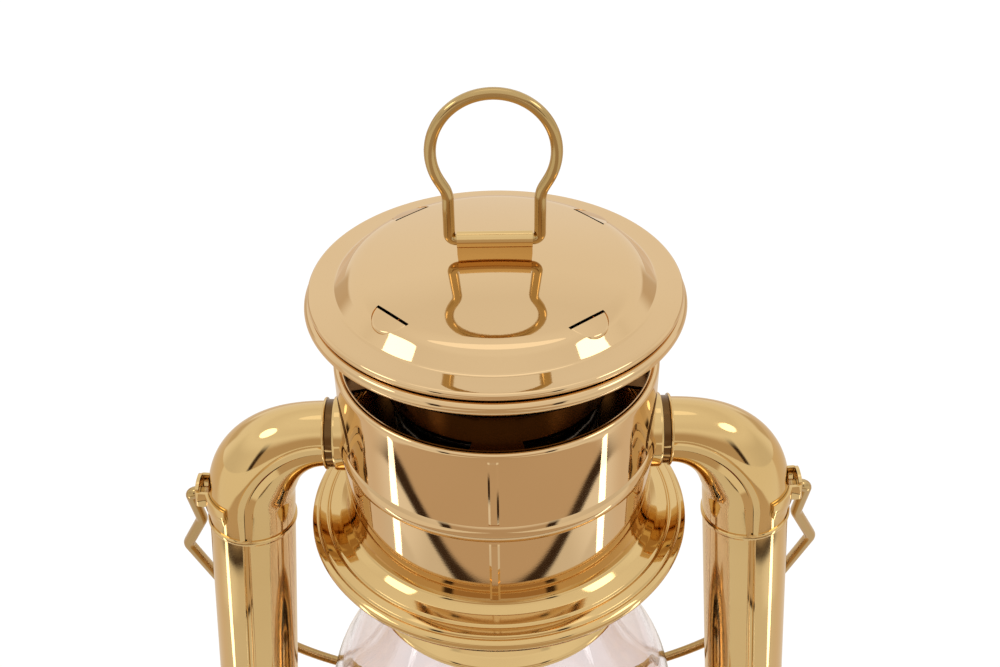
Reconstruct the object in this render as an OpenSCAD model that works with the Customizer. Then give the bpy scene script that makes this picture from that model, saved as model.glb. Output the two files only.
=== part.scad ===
// Tubular hurricane lantern: tank, burner, globe, side tubes, drum, spring-loaded hood, bail and lift ring.
// Millimetres, +Z up. The lantern stands on z = 0, the side tubes lie along X and the front faces -Y.

/* [Sheet and wire] */
// Thickness of the spun and rolled sheet
sheet_t = 0.8; // [0.5:0.05:1.1]
// Diameter of the bail wire
bail_wire = 3.5; // [2.4:0.1:4.2]
// Diameter of the lift ring wire
ring_wire = 3; // [2.2:0.1:3.6]

/* [Tank] */
// Outer radius of the tank wall
tank_r = 92; // [84:0.5:100]
// Height of the tank wall up to its rounded shoulder
tank_wall_h = 37; // [32:0.5:39]
// Height of the tank top above its shoulder
tank_rise = 6; // [4:0.25:7]
// Radius of the lower air chamber
chamber_r = 50; // [47:0.25:53]
// Bore of the filler neck
filler_bore = 19; // [16:0.5:21]
// Direction of the filler neck, seen from above
filler_az = 222; // [205:1:240]

/* [Side tubes] */
// Outer diameter of the side tubes
tube_d = 25.2; // [23:0.1:26]
// Outer diameter of an elbow where it enters the drum
elbow_d = 18.6; // [16:0.1:20]
// Half spacing of the tube axes at the height of the elbow axis
tube_x = 70.53; // [68:0.01:74]
// Outward lean of the tubes, in degrees
splay = 5.65; // [4.5:0.05:6.5]
// Straight tail of an elbow between its bend and the joint
elbow_tail = 9.9; // [7:0.1:13]
// Height of the elbow axis above the drum's lower edge
elbow_rise = 24.1; // [21:0.1:26]
// Gap between the tank top and the lower air duct
duct_gap = 3.4; // [2.5:0.1:5]
// Straight run of the lower air duct outside the chamber
duct_run = 8.9; // [6:0.1:12]

/* [Drum] */
// Outer radius of the drum
drum_r = 44; // [42.5:0.1:45]
// Height of the drum's lower edge
drum_z = 252.3; // [250:0.1:254]
// Height of the drum wall, up to the top of the rolled edge
drum_h = 53.3; // [52:0.1:57]
// Radius of the rolled edge at the drum's mouth
drum_roll = 2; // [1.5:0.05:2.4]
// Outer radius of the grooved flange
flange_r = 55.1; // [52:0.1:58]
// Width of the lock seam down the drum's front
seam_w = 2.7; // [1.8:0.1:3.5]

/* [Hood] */
// Height of the groove under the brim, above the drum's mouth
hood_rise = 20; // [17:0.1:22]
// Height of the dome's centre above the groove
dome_h = 10.2; // [9:0.1:12]
// Radius of the ridge round the dome
ridge_r = 37.4; // [36.5:0.1:38.5]
// Height of that ridge above the groove
ridge_h = 6.9; // [6.4:0.1:8]
// Width of the sloped skirt outside the ridge
skirt_w = 4.7; // [3.5:0.1:6]
// Width of the flat brim outside the skirt
brim_w = 6.6; // [5:0.1:8]
// Radius of a half-moon louvre
louvre_r = 6; // [4.5:0.1:6.6]
// Depth of a louvre's floor below the ridge, at its straight edge
louvre_drop = 0.8; // [0.5:0.1:1.4]
// Outward tilt of a louvre's floor, in degrees
louvre_tilt = 9; // [5:0.5:14]

/* [Lift ring and bail] */
// Radius of the lift ring along its wire's middle
ring_r = 15.4; // [13.5:0.1:17]
// Half spacing of the ring's two legs
ring_leg = 11.5; // [10:0.1:12.5]
// Height of the ring's centre above its hinge axis
ring_h = 24.3; // [22:0.1:28]
// Height of the bail's pivot above the elbow joint
bail_rise = 9; // [8:0.1:11]
// Height of the hanging bail's crown above the globe plate
bail_low = 15; // [10:0.5:20]
// Distance of the hanging bail's crown behind the globe plate
bail_back = 9; // [7:0.5:14]
// Sideways step of the kink in each bail leg
bail_kink = 8; // [5:0.25:10]

/* [Globe and lift] */
// Largest outer radius of the globe
globe_r = 59.5; // [55:0.25:61]
// Thickness of the glass
glass_t = 2.4; // [1.8:0.1:3]
// Height of the globe plate at rest above the air chamber
plate_rise = 9.4; // [8.5:0.1:11]
// Lift of the globe plate by the lever
globe_lift = 14; // [10:0.5:14]
// Further lift of the hood by its ring
hood_lift = 9; // [6:0.5:9]
// Outer radius of the chimney tube
chimney_r = 25; // [23.5:0.1:25.5]
// Depth of the bell's lip below the drum
bell_drop = 32.5; // [30:0.5:36]
// Height of the bell
bell_h = 18; // [15:0.5:20]
// Width of the bell's flare outside the chimney
bell_w = 14.6; // [13:0.1:16]
// Length of the lever's inner arm
lever_arm = 22; // [20:0.25:24]
// Direction of the lever, seen from above
lever_az = -38; // [-46:1:-32]

/* [Burner] */
// Width of the flat wick
wick_w = 25; // [20:0.5:26]
// Thickness of the wick
wick_t = 2.4; // [1.8:0.1:2.8]
// Depth of the wick shaft below the chamber's top
shaft_drop = 6.6; // [5.5:0.1:8]
// Diameter of the wick shaft
shaft_d = 3; // [2.4:0.1:3.4]
// Tip radius of the wick's star wheels
star_r = 4; // [3.4:0.1:4.4]

/* [Clearances] */
// Radial running clearance of hinge wires and shafts in their bores
run_clear = 0.08; // [0.04:0.01:0.1]
// Radial clearance of the sliding sleeves
slide_clear = 0.4; // [0.32:0.02:0.5]

/* [Hidden] */
$fn = 96;
brass = [0.78, 0.58, 0.31];
big = 400;

tube_r = tube_d / 2;
elbow_r = elbow_d / 2;
slope = tan(splay);

// heights, from the ground up
tank_top_z = tank_wall_h + tank_rise;
duct_z = tank_top_z + duct_gap + tube_r;
chamber_top = tank_top_z + tube_d + 4.4;
shaft_z = chamber_top - shaft_drop;
plate_z = chamber_top + plate_rise;
elbow_z = drum_z + elbow_rise;
drum_top = drum_z + drum_h;
groove_z = drum_top + hood_rise;

// half spacing of the tube axes at height z
function tube_at(z) = tube_x + slope * (elbow_z - z);

// lower duct bend, tangent to the duct and to the tube
bend_x = chamber_r + duct_run;
lower_bend = (tube_at(duct_z) - bend_x) / (cos(splay) + slope * (1 + sin(splay)));
bend_z = duct_z + lower_bend;
bend_top_z = bend_z + lower_bend * sin(splay);

// upper elbow bend
elbow_start = drum_r + 5.3;
elbow_turn = 90 - splay;
elbow_bend = (tube_x - elbow_start) / tan(elbow_turn / 2);
elbow_end_z = elbow_z - elbow_bend + elbow_bend * cos(elbow_turn);
joint_z = elbow_end_z - elbow_tail * cos(splay);

// drum and what is inside it
drum_in = drum_r - sheet_t;
roll_z = drum_top - drum_roll;
roll_c = drum_r - drum_roll;
bead_z = drum_z + 26.6;
floor_z = drum_z + 11.4;
deck_z = drum_top - 7.5;
spring_seat = floor_z + 2.2;
spring_r = chimney_r + 3.4;
spring_wire = 1.5;
spring_turns = 6;

// hood
ridge_z = groove_z + ridge_h;
dome_z = groove_z + dome_h;
dome_R = (ridge_r * ridge_r + (dome_h - ridge_h) * (dome_h - ridge_h)) / (2 * (dome_h - ridge_h));
skirt_r = ridge_r + skirt_w;
skirt_z = groove_z + 2.1;
brim_r = skirt_r + brim_w;
brim_edge = sheet_t + 0.2;
hood_r = brim_r + 1.1;
band_h = 3.8;
pan_z = groove_z - 9.8;
chimney_top = pan_z + 3.4;
bell_z = drum_z - bell_drop;
bell_top = bell_z + bell_h;
bell_r = chimney_r + bell_w;
louvre_c = ridge_r - 3.4;
louvre_az = [41.6, 131.6, 223.6, 309.6];

// hinge of the lift ring
hinge_or = ring_wire / 2 + run_clear + 0.65;
hinge_z = dome_z + hinge_or + 1.8;
hinge_bend = ring_wire / 2 + 0.2;
hinge_len = 2 * (ring_leg - hinge_bend) - 0.4;
neck_bend = 7;
neck_run = 2;
neck_x = ring_leg + neck_bend;
neck_far = norm([ring_r + neck_bend, neck_run]);
neck_z = ring_h - sqrt(neck_far * neck_far - neck_x * neck_x);
neck_a = atan2(ring_h - neck_z, neck_x) - atan2(neck_run, ring_r + neck_bend);

// globe and its plate
neck_r = chimney_r;
plate_in = neck_r + slide_clear;
plate_r = globe_r - 13;
plate_t = 1.2;
globe_z0 = plate_z + plate_t;
globe_z1 = bell_z + 5.6;
globe_base_r = plate_r - 2;
globe_mouth_r = bell_r - 5.4;
neck_top = plate_z + 12;

// bail, drawn in its own plane as [sideways, reach]
bail_z = joint_z + bail_rise;
bail_drop = bail_z - plate_z - bail_low;
bail_lean = atan2(plate_r + bail_back, bail_drop);
bail_reach = norm([plate_r + bail_back, bail_drop]);
ear_face = tube_at(bail_z) + tube_r + 2.1;
ear_t = 1.3;
ear_w = 8.4;
strap_h = 8;
strap_in = 2.5;
ear_foot = joint_z + 1.3 + (tube_r + 1) * sin(splay);
bail_leg = ear_face + ear_t + bail_wire / 2 + 0.5;
bail_end = ear_face - 1.5;
kink_s = 34;
kink_x = bail_leg + bail_kink;
bail_in = 5.6;
arch_c = (kink_x * cos(bail_in) + kink_s * sin(bail_in) - bail_reach) / (sin(bail_in) - 1);
arch_r = bail_reach - arch_c;

// lever: the inner arm swings as far below the level as above it
lever_sweep = 2 * asin(globe_lift / (2 * lever_arm));
lever_tip = 2;
lever_gap = 0.3;
lever_z = plate_z - lever_gap - lever_tip + globe_lift / 2;
lever_R = plate_r - 2.5 + lever_arm * cos(lever_sweep / 2);
lever_out = 36;
lever_t = 2.6;
lever_pin_r = 1.5;
cheek_t = 1.5;
cheek_gap = lever_t + 0.7;

// burner
tube_gap = 0.35;
wick_tube_wall = 0.6;
wick_tube_w = wick_w + 2 * tube_gap + 2 * wick_tube_wall;
wick_tube_t = wick_t + 2 * tube_gap + 2 * wick_tube_wall;
shaft_r = shaft_d / 2;
star_gap = 0.3;
star_x = wick_t / 2 + star_gap + star_r;
wick_top = plate_z + 9;
wick_foot = 10;
wick_tube_top = plate_z + 7;
deck_r = neck_r - sheet_t;
burner_deck_z = chamber_top + 1.2;
collar_r = 20;
knob_y = -(chamber_r + 14);
knob_r = 9.5;

// filler
filler_R = (tank_r + chamber_r) / 2 + 4.5;
filler_x = filler_R * cos(filler_az);
filler_y = filler_R * sin(filler_az);
filler_or = filler_bore / 2 + 1.2;
filler_top = tank_wall_h + 14;
gasket_t = 1.5;
cap_gap = 0.4;
gasket_z = filler_top + 0.3;
cap_in = filler_or + 0.6;
cap_r = cap_in + 1.6;
cap_h = 10;

function arc(cx, cz, r, a0, a1, n = 10) =
    [for (i = [0 : n]) [cx + r * cos(a0 + (a1 - a0) * i / n), cz + r * sin(a0 + (a1 - a0) * i / n)]];
function unit(v) = v / norm(v);
function side(v) = [v[1], -v[0]];
function last(p) = len(p) - 1;
// normal at point i of an open line, scaled so that the sheet keeps its thickness round a corner
function mitre(p, i) =
    i == 0 ? side(unit(p[1] - p[0])) :
    i == last(p) ? side(unit(p[i] - p[i - 1])) :
    let (a = side(unit(p[i] - p[i - 1])), b = side(unit(p[i + 1] - p[i]))) (a + b) / (1 + a * b);
// closed outline of a sheet whose face follows line p, thickness t to the right of its run
function clear_axis(q) = [max(q[0], 0), q[1]];
function sheet(p, t) =
    concat(p, [for (i = [last(p) : -1 : 0]) clear_axis(p[i] + t * mitre(p, i))]);
// smooth line through points p, n steps between each two
function smooth(p, n = 4) = concat([for (i = [0 : last(p) - 1], j = [0 : n - 1])
    let (a = p[max(i - 1, 0)], b = p[i], c = p[i + 1], d = p[min(i + 2, last(p))], t = j / n)
    0.5 * (2 * b + (c - a) * t + (2 * a - 5 * b + 4 * c - d) * t * t
        + (3 * b - a - 3 * c + d) * t * t * t)],
    [p[last(p)]]);

module spin(p) {
    rotate_extrude() polygon(p);
}

// sheet spun about the axis: the metal lies on the right of the line's run, or on its left if t is negative
module spun(p, t = sheet_t) {
    spin(sheet(p, t));
}

module left() {
    mirror([1, 0, 0]) children();
}

module along_x(x0, x1, r, z = 0, y = 0) {
    translate([x0, y, z]) rotate([0, 90, 0]) cylinder(h = x1 - x0, r = r);
}

module along_y(y0, y1, r, x = 0, z = 0) {
    translate([x, y1, z]) rotate([90, 0, 0]) cylinder(h = y1 - y0, r = r);
}

// ring spun about the X axis from [radius, x] points
module spin_x(p, z) {
    translate([0, 0, z]) rotate([0, 90, 0]) rotate_extrude() polygon(p);
}

// round wire in the XZ plane: straight run and arc; a bend swells a hair, and each run laps into it
wire_swell = 0.08;
wire_lap = 0.3;

module wire_run(a, b, d, lap0 = wire_lap, lap1 = wire_lap) {
    translate([a[0], 0, a[1]])
        rotate([0, atan2(b[0] - a[0], b[1] - a[1]), 0])
            translate([0, 0, -lap0])
                cylinder(h = norm(b - a) + lap0 + lap1, d = d, $fn = 32);
}

module wire_arc(c, r, a0, a1, d) {
    translate([c[0], 0, c[1]])
        rotate([90, 0, 0])
            rotate([0, 0, a0])
                rotate_extrude(angle = a1 - a0)
                    translate([r, 0])
                        circle(d = d + 2 * wire_swell, $fn = 32);
}

module pipe_bend(c, r, a0, a1, ro, ri) {
    translate([c[0], 0, c[1]])
        rotate([90, 0, 0])
            rotate([0, 0, a0])
                rotate_extrude(angle = a1 - a0)
                    translate([r, 0])
                        difference() {
                            circle(r = ro);
                            circle(r = ri);
                        }
}

// frame whose +Z runs down the right tube from height z
module down_tube(z) {
    translate([tube_at(z), 0, z]) rotate([0, 180 - splay, 0]) children();
}

// Tank

tank_line = concat(
    [[tank_r, sheet_t + 0.2]],
    arc(tank_r - 6, tank_wall_h - 6, 6, 0, 80, 8),
    [[chamber_r + 2, tank_top_z], [collar_r - 2.4, tank_top_z]]);

module filler_place() {
    translate([filler_x, filler_y, 0]) children();
}

module tank_fill() {
    spin(concat([[0, 0]], tank_line, [[0, tank_top_z]]));
}

module tank_shell() {
    color(brass)
        difference() {
            spun(tank_line, -sheet_t);
            filler_place() cylinder(h = big, r = filler_or);
        }
}

module tank_base() {
    t = sheet_t;
    color(brass)
        spin([[0, 4.6], [tank_r - t, 4.6], [tank_r - t, t + 0.2], [tank_r, t + 0.2], [tank_r, 6],
            [tank_r + t, 6], [tank_r + t + 0.5, 4.5], [tank_r + t + 0.5, 0.8], [tank_r + t - 0.3, 0],
            [tank_r - 3, 0], [tank_r - 3.8, 3.6], [0, 3.6]]);
}

module filler_neck() {
    color(brass)
        filler_place()
            spin([[filler_bore / 2, tank_wall_h - 6], [filler_or, tank_wall_h - 6], [filler_or, filler_top],
                [filler_bore / 2, filler_top]]);
}

module filler_gasket() {
    color([0.62, 0.44, 0.27])
        filler_place()
            spin([[filler_bore / 2 - 1, gasket_z], [cap_in - cap_gap, gasket_z],
                [cap_in - cap_gap, gasket_z + gasket_t], [filler_bore / 2 - 1, gasket_z + gasket_t]]);
}

module filler_cap() {
    top = gasket_z + gasket_t + 0.2;
    color(brass)
        filler_place()
            difference() {
                spin([[0, top], [cap_in, top], [cap_in, top - cap_h + 2], [cap_r, top - cap_h + 2],
                    [cap_r, top + 0.6], [cap_r - 1, top + 1.6], [cap_r - 4, top + 2.4], [0, top + 3]]);
                for (a = [0 : 15 : 345])
                    rotate([0, 0, a])
                        translate([cap_r + 0.5, 0, top - cap_h])
                            cylinder(h = cap_h, r = 1.1, $fn = 24);
            }
}

// Lower air chamber and ducts

chamber_line = concat(
    [[chamber_r, tank_top_z]],
    arc(chamber_r - 2, chamber_top - 2, 2, 0, 80, 6),
    [[neck_r + 2, chamber_top + 2.4], [neck_r, chamber_top + 4.4], [neck_r, neck_top]]);

module air_chamber() {
    color(brass)
        difference() {
            union() {
                spun(chamber_line, -sheet_t);
                difference() {
                    along_y(-chamber_r - 2, -chamber_r + 3, shaft_r + 2.2, star_x, shaft_z);
                    spin([[0, 0], [chamber_r - sheet_t, 0], [chamber_r - sheet_t, big], [0, big]]);
                }
            }
            along_x(-big, big, tube_r, duct_z);
            along_y(-chamber_r - 5, -chamber_r + 8, shaft_r + run_clear, star_x, shaft_z);
        }
}

module lower_elbow_right() {
    color(brass) {
        pipe_bend([bend_x, bend_z], lower_bend, -90, splay, tube_r, tube_r - sheet_t);
        difference() {
            along_x(chamber_r - 3, bend_x, tube_r, duct_z);
            along_x(0, big, tube_r - sheet_t, duct_z);
        }
    }
}

module lower_elbow_left() {
    left() lower_elbow_right();
}

module lower_collar_right() {
    color(brass)
        difference() {
            spin_x([[tube_r, 0], [tube_r + 1, 0], [tube_r + 1, chamber_r + 2.2],
                [tube_r + 1.8, chamber_r + 2.6], [tube_r + 1.8, chamber_r + 3.6],
                [tube_r + 1, chamber_r + 4], [tube_r, chamber_r + 4]], duct_z);
            cylinder(h = big, r = chamber_r);
            tank_fill();
        }
}

module lower_collar_left() {
    left() lower_collar_right();
}

// Side tubes and elbows

module tube_right() {
    run = (joint_z - bend_top_z) / cos(splay);
    color(brass)
        down_tube(joint_z)
            difference() {
                cylinder(h = run, r = tube_r);
                translate([0, 0, -1]) cylinder(h = run + 2, r = tube_r - sheet_t);
            }
}

module tube_left() {
    left() tube_right();
}

module joint_ring_right() {
    color(brass)
        down_tube(joint_z)
            spin([[tube_r, -1], [tube_r + 0.7, -1], [tube_r + 1, -0.4], [tube_r + 1, 0.8],
                [tube_r + 0.6, 1.6], [tube_r, 1.6]]);
}

module joint_ring_left() {
    left() joint_ring_right();
}

// The stamped elbow widens along its bend: rings of points follow the bend and are joined into one skin.
elbow_rings = 14;
elbow_sides = 32;
function ease(u) = u * u * (3 - 2 * u);
function elbow_angle(i) = elbow_turn * min(max((i - 1) / (elbow_rings - 2), 0), 1);
function elbow_centre(i) =
    i == 0 ? [drum_r - 2, elbow_z] :
    i == elbow_rings ? elbow_centre(elbow_rings - 1) + elbow_tail * [sin(splay), -cos(splay)] :
    [elbow_start + elbow_bend * sin(elbow_angle(i)),
        elbow_z - elbow_bend + elbow_bend * cos(elbow_angle(i))];
function elbow_size(i) = elbow_r + (tube_r - elbow_r) * ease(min(elbow_angle(i) / (0.8 * elbow_turn), 1));
function elbow_ring(i, inset) = [for (j = [0 : elbow_sides - 1])
    let (a = 360 * j / elbow_sides, r = (elbow_size(i) - inset), c = elbow_centre(i), t = elbow_angle(i))
    [c[0] + r * cos(a) * sin(t), r * sin(a), c[1] + r * cos(a) * cos(t)]];

module elbow_right() {
    n = elbow_rings;
    m = elbow_sides;
    points = concat(
        [for (i = [0 : n]) each elbow_ring(i, 0)],
        [for (i = [0 : n]) each elbow_ring(i, sheet_t)]);
    inner = (n + 1) * m;
    skin = [for (i = [0 : n - 1], j = [0 : m - 1]) let (k = (j + 1) % m)
        each [[i * m + j, (i + 1) * m + j, (i + 1) * m + k], [i * m + j, (i + 1) * m + k, i * m + k]]];
    lining = [for (f = skin) [f[2] + inner, f[1] + inner, f[0] + inner]];
    ends = [for (j = [0 : m - 1]) let (k = (j + 1) % m, e = n * m)
        each [[j, k, inner + k], [j, inner + k, inner + j],
            [e + k, e + j, inner + e + j], [e + k, inner + e + j, inner + e + k]]];
    color(brass) polyhedron(points = points, faces = concat(skin, lining, ends), convexity = 6);
}

module elbow_left() {
    left() elbow_right();
}

module upper_collar_right() {
    x = drum_r + 2.8;
    color(brass)
        difference() {
            spin_x([[elbow_r, 0], [elbow_r + 1.4, 0], [elbow_r + 1.4, x - 1.6], [elbow_r + 1.2, x - 0.9],
                [elbow_r + 0.4, x - 0.7], [elbow_r + 0.4, x + 1.2], [elbow_r + 0.8, x + 1.3],
                [elbow_r + 1, x + 1.7], [elbow_r + 0.8, x + 2.1], [elbow_r, x + 2.2]], elbow_z);
            cylinder(h = big, r = drum_r);
        }
}

module upper_collar_left() {
    left() upper_collar_right();
}

// Drum

bead_half = 2.7;
bead_out = 1;
bead_R = (bead_half * bead_half + bead_out * bead_out) / (2 * bead_out);
bead_a = asin(bead_half / bead_R);
drum_line = concat(
    [[drum_r, drum_z]],
    arc(drum_r + bead_out - bead_R, bead_z, bead_R, -bead_a, bead_a, 8),
    arc(roll_c, roll_z, drum_roll, 0, 180, 12),
    [[drum_r - 2 * drum_roll, roll_z - 1.6]]);

module drum() {
    seam_a = 2 * asin(seam_w / (2 * drum_r));
    color(brass)
        difference() {
            union() {
                difference() {
                    spun(drum_line, -sheet_t);
                    // flat ground for the collars
                    for (s = [0, 180])
                        rotate([0, 0, s])
                            difference() {
                                along_x(drum_r - 6, drum_r + 8, elbow_r + 1.45, elbow_z);
                                cylinder(h = big, r = drum_r);
                            }
                }
                for (z = [[drum_z + 2.6, bead_z - bead_half - 0.6], [bead_z + bead_half + 0.6, roll_z - 1]])
                    rotate([0, 0, 270 - seam_a / 2 - 1.4])
                        rotate_extrude(angle = seam_a)
                            polygon([[drum_in + 0.3, z[0]], [drum_r + 0.45, z[0]], [drum_r + 0.45, z[1]],
                                [drum_in + 0.3, z[1]]]);
            }
            along_x(-big, big, elbow_r, elbow_z);
        }
}

flange_line = [[drum_r, drum_z + 3.2], [drum_r + 0.5, drum_z + 1.4], [drum_r + 1.8, drum_z + 0.2],
    [flange_r - 5.6, drum_z - 0.9], [flange_r - 5.1, drum_z - 1.6], [flange_r - 4.5, drum_z - 1.1],
    [flange_r - 2.4, drum_z - 1.7], [flange_r - 2, drum_z - 2.4], [flange_r - 1.5, drum_z - 2],
    [flange_r - 0.5, drum_z - 2.5], [flange_r, drum_z - 3.4], [flange_r, drum_z - 4.6],
    [flange_r - 0.6, drum_z - 5.4]];

module drum_flange() {
    color(brass)
        difference() {
            spun(flange_line);
            cylinder(h = big, r = drum_r);
        }
}

module drum_floor() {
    color(brass)
        spin([[chimney_r + slide_clear, floor_z], [drum_in, floor_z], [drum_in, floor_z + 1],
            [chimney_r + slide_clear, floor_z + 1]]);
}

module drum_deck() {
    rim = chimney_r + slide_clear;
    color(brass)
        difference() {
            spin([[rim, deck_z - 1], [drum_in, deck_z - 1], [drum_in, deck_z], [rim + 1, deck_z],
                [rim + 1, deck_z + 4], [rim, deck_z + 4]]);
            for (a = [0 : 90 : 270])
                rotate([0, 0, a + 12])
                    rotate_extrude(angle = 66)
                        translate([spring_r + 2.4, deck_z - 2])
                            square([drum_in - spring_r - 5.4, 4]);
        }
}

// Coil round the chimney, between the flange on the chimney and the deck
spring_z0 = spring_seat + 1 + spring_wire / 2 + 0.05;
spring_z1 = deck_z - 1 - spring_wire / 2 - 0.05;
spring_steps = spring_turns * 8;
function spring_z(u) = spring_z0 + (spring_z1 - spring_z0) * u;
spring_gap = (spring_z1 - spring_z0) / spring_turns - spring_wire;
echo(spring_least_gap = spring_gap);

module hood_spring() {
    sides = 6;
    points = [for (i = [0 : spring_steps], j = [0 : sides - 1])
        let (a = 360 * i / 8, b = 360 * j / sides, r = spring_r + spring_wire / 2 * cos(b))
        [r * cos(a), r * sin(a), spring_z(i / spring_steps) + spring_wire / 2 * sin(b)]];
    skin = [for (i = [0 : spring_steps - 1], j = [0 : sides - 1]) let (k = (j + 1) % sides, p = i * sides)
        each [[p + j, p + k, p + sides + k], [p + j, p + sides + k, p + sides + j]]];
    e = spring_steps * sides;
    ends = [[for (j = [sides - 1 : -1 : 0]) j], [for (j = [0 : sides - 1]) e + j]];
    turned = [for (f = concat(skin, ends)) [for (q = [last(f) : -1 : 0]) f[q]]];
    color([0.7, 0.7, 0.68]) polyhedron(points = points, faces = turned, convexity = 8);
}

// Hood, chimney and bell: one assembly that slides up through the drum

hood_line = concat(
    [for (i = [0 : 11]) let (r = (ridge_r - 0.8) * i / 11)
        [r, dome_z - dome_R + sqrt(dome_R * dome_R - r * r)]],
    [[ridge_r, ridge_z - 0.25], [ridge_r + 0.6, ridge_z - 0.9], [skirt_r - 0.5, skirt_z + 0.35],
        [skirt_r + 0.3, skirt_z]],
    arc(brim_r - brim_edge, groove_z + brim_edge, brim_edge, 80, -90, 6),
    [[hood_r - band_h / 2 - 1.4, groove_z]]);

module hood_fill() {
    spin(concat(hood_line, [[0, groove_z]]));
}

// room under the sheet
module hood_core() {
    low = groove_z - 3 * louvre_r;
    spin(concat([for (i = [0 : last(hood_line)]) clear_axis(hood_line[i] + sheet_t * mitre(hood_line, i))],
        [[hood_line[last(hood_line)][0], low], [0, low]]));
}

module at_louvres() {
    for (a = louvre_az)
        rotate([0, 0, a])
            translate([louvre_c, 0, ridge_z - louvre_drop])
                rotate([0, louvre_tilt, 0])
                    children();
}

// half cylinder whose flat side faces the lantern's axis
module half_moon(r, z0, z1) {
    intersection() {
        translate([0, 0, z0]) cylinder(h = z1 - z0, r = r);
        translate([0, -r - 1, z0 - 1]) cube([r + 2, 2 * r + 2, z1 - z0 + 2]);
    }
}

// each louvre is a half-moon step pressed out of the ridge, sheared open along its straight edge
module hood_top() {
    deep = 2 * louvre_r;
    color(brass)
        difference() {
            union() {
                spun(hood_line);
                at_louvres() half_moon(louvre_r, -sheet_t, 0);
                difference() {
                    at_louvres() half_moon(louvre_r, -deep, 0);
                    hood_core();
                }
            }
            at_louvres() half_moon(louvre_r, 0, deep);
            at_louvres() half_moon(louvre_r - sheet_t, -deep, -sheet_t);
        }
}

module hood_band() {
    r = hood_r - band_h / 2;
    color(brass)
        spin(concat([[r - 1.4, groove_z - band_h]], arc(r, groove_z - band_h / 2, band_h / 2, -90, 90, 12),
            [[r - 1.4, groove_z]]));
}

pan_line = [[hood_r - band_h / 2 - 1.4, groove_z - 0.4], [hood_r - band_h / 2 - 1.4, groove_z - 3.2],
    [hood_r - 5.6, pan_z + 2.2], [hood_r - 6.4, pan_z + 0.5], [hood_r - 7.6, pan_z],
    [chimney_r + 1.2, chimney_top - 1.4], [chimney_r, chimney_top - 0.6]];

module hood_pan() {
    color(brass)
        difference() {
            spun(pan_line);
            cylinder(h = big, r = chimney_r);
        }
}

module chimney() {
    color(brass)
        spin([[chimney_r - sheet_t, bell_top - 2], [chimney_r, bell_top - 2], [chimney_r, spring_seat],
            [spring_r + 2, spring_seat], [spring_r + 2, spring_seat + 1], [chimney_r, spring_seat + 1],
            [chimney_r, chimney_top], [chimney_r - sheet_t, chimney_top]]);
}

bell_line = [[chimney_r, bell_top], [chimney_r + 0.9, bell_top - 0.9], [bell_r - 1.6, bell_z + 2.8],
    [bell_r - 0.3, bell_z + 1.6], [bell_r, bell_z + 0.7], [bell_r - 0.3, bell_z]];

module bell() {
    color(brass)
        difference() {
            spun(bell_line);
            cylinder(h = big, r = chimney_r);
        }
}

module ring_hinge() {
    w = 2 * hinge_or;
    color(brass)
        difference() {
            union() {
                along_x(-hinge_len / 2, hinge_len / 2, hinge_or, hinge_z);
                translate([-hinge_len / 2, -0.5, dome_z - 1])
                    cube([hinge_len, hinge_or + 0.2, hinge_z - dome_z]);
                translate([-hinge_len / 2, -0.5, dome_z - 1])
                    cube([hinge_len, w + 2.5, 1.7]);
            }
            hood_fill();
            along_x(-big, big, ring_wire / 2 + run_clear, hinge_z);
        }
}

module lift_ring() {
    d = ring_wire;
    b = hinge_bend;
    g = ring_leg;
    color(brass)
        translate([0, 0, hinge_z]) {
            wire_run([b - g, 0], [g - b, 0], d);
            wire_arc([g - b, b], b, -90, 0, d);
            wire_arc([b - g, b], b, 180, 270, d);
            for (s = [-1, 1]) {
                wire_run([s * g, b], [s * g, neck_z], d);
                wire_run([s * (neck_x - neck_bend * cos(neck_a)), neck_z + neck_bend * sin(neck_a)],
                    [s * ring_r * cos(neck_a), ring_h - ring_r * sin(neck_a)], d);
            }
            wire_arc([neck_x, neck_z], neck_bend, 180 - neck_a, 180, d);
            wire_arc([-neck_x, neck_z], neck_bend, 0, neck_a, d);
            wire_arc([0, ring_h], ring_r, -neck_a, 180 + neck_a, d);
        }
}

// Bail and its ears

// strap round the outer side of the elbow's tail, with a pierced ear that stands off it
module ear_right() {
    color(brass)
        difference() {
            union() {
                along_x(ear_face, ear_face + ear_t, ear_w / 2, bail_z);
                translate([ear_face, -ear_w / 2, ear_foot]) cube([ear_t, ear_w, bail_z - ear_foot]);
                translate([tube_x, -ear_w / 2, ear_foot]) cube([ear_face - tube_x + ear_t, ear_w, 2.6]);
                intersection() {
                    down_tube(joint_z) translate([0, 0, -strap_h - 1.3])
                        cylinder(h = strap_h, r = tube_r + 1);
                    translate([tube_at(joint_z) + strap_in, -big / 2, 0]) cube([big, big, big]);
                }
            }
            along_x(tube_at(bail_z) + tube_r + 0.4, big, bail_wire / 2 + run_clear, bail_z);
            down_tube(joint_z + 30) cylinder(h = 60, r = tube_r);
        }
}

module ear_left() {
    left() ear_right();
}

// corner of the bail wire: cut back along both runs and joined by an arc
function turn_of(a, p, b) = let (u = unit(p - a), v = unit(b - p)) acos(min(1, u * v));
function cut_of(a, p, b, r) = r * tan(turn_of(a, p, b) / 2);
function before(a, p, b, r) = p - unit(p - a) * cut_of(a, p, b, r);
function after(a, p, b, r) = p + unit(b - p) * cut_of(a, p, b, r);

module wire_corner(a, p, b, r, d) {
    u = unit(p - a);
    v = unit(b - p);
    s = sign(u[0] * v[1] - u[1] * v[0]);
    q = before(a, p, b, r);
    c = q + s * r * [-u[1], u[0]];
    start = atan2(q[1] - c[1], q[0] - c[0]);
    wire_arc(c, r, s > 0 ? start : start - turn_of(a, p, b), s > 0 ? start + turn_of(a, p, b) : start, d);
}

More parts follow.
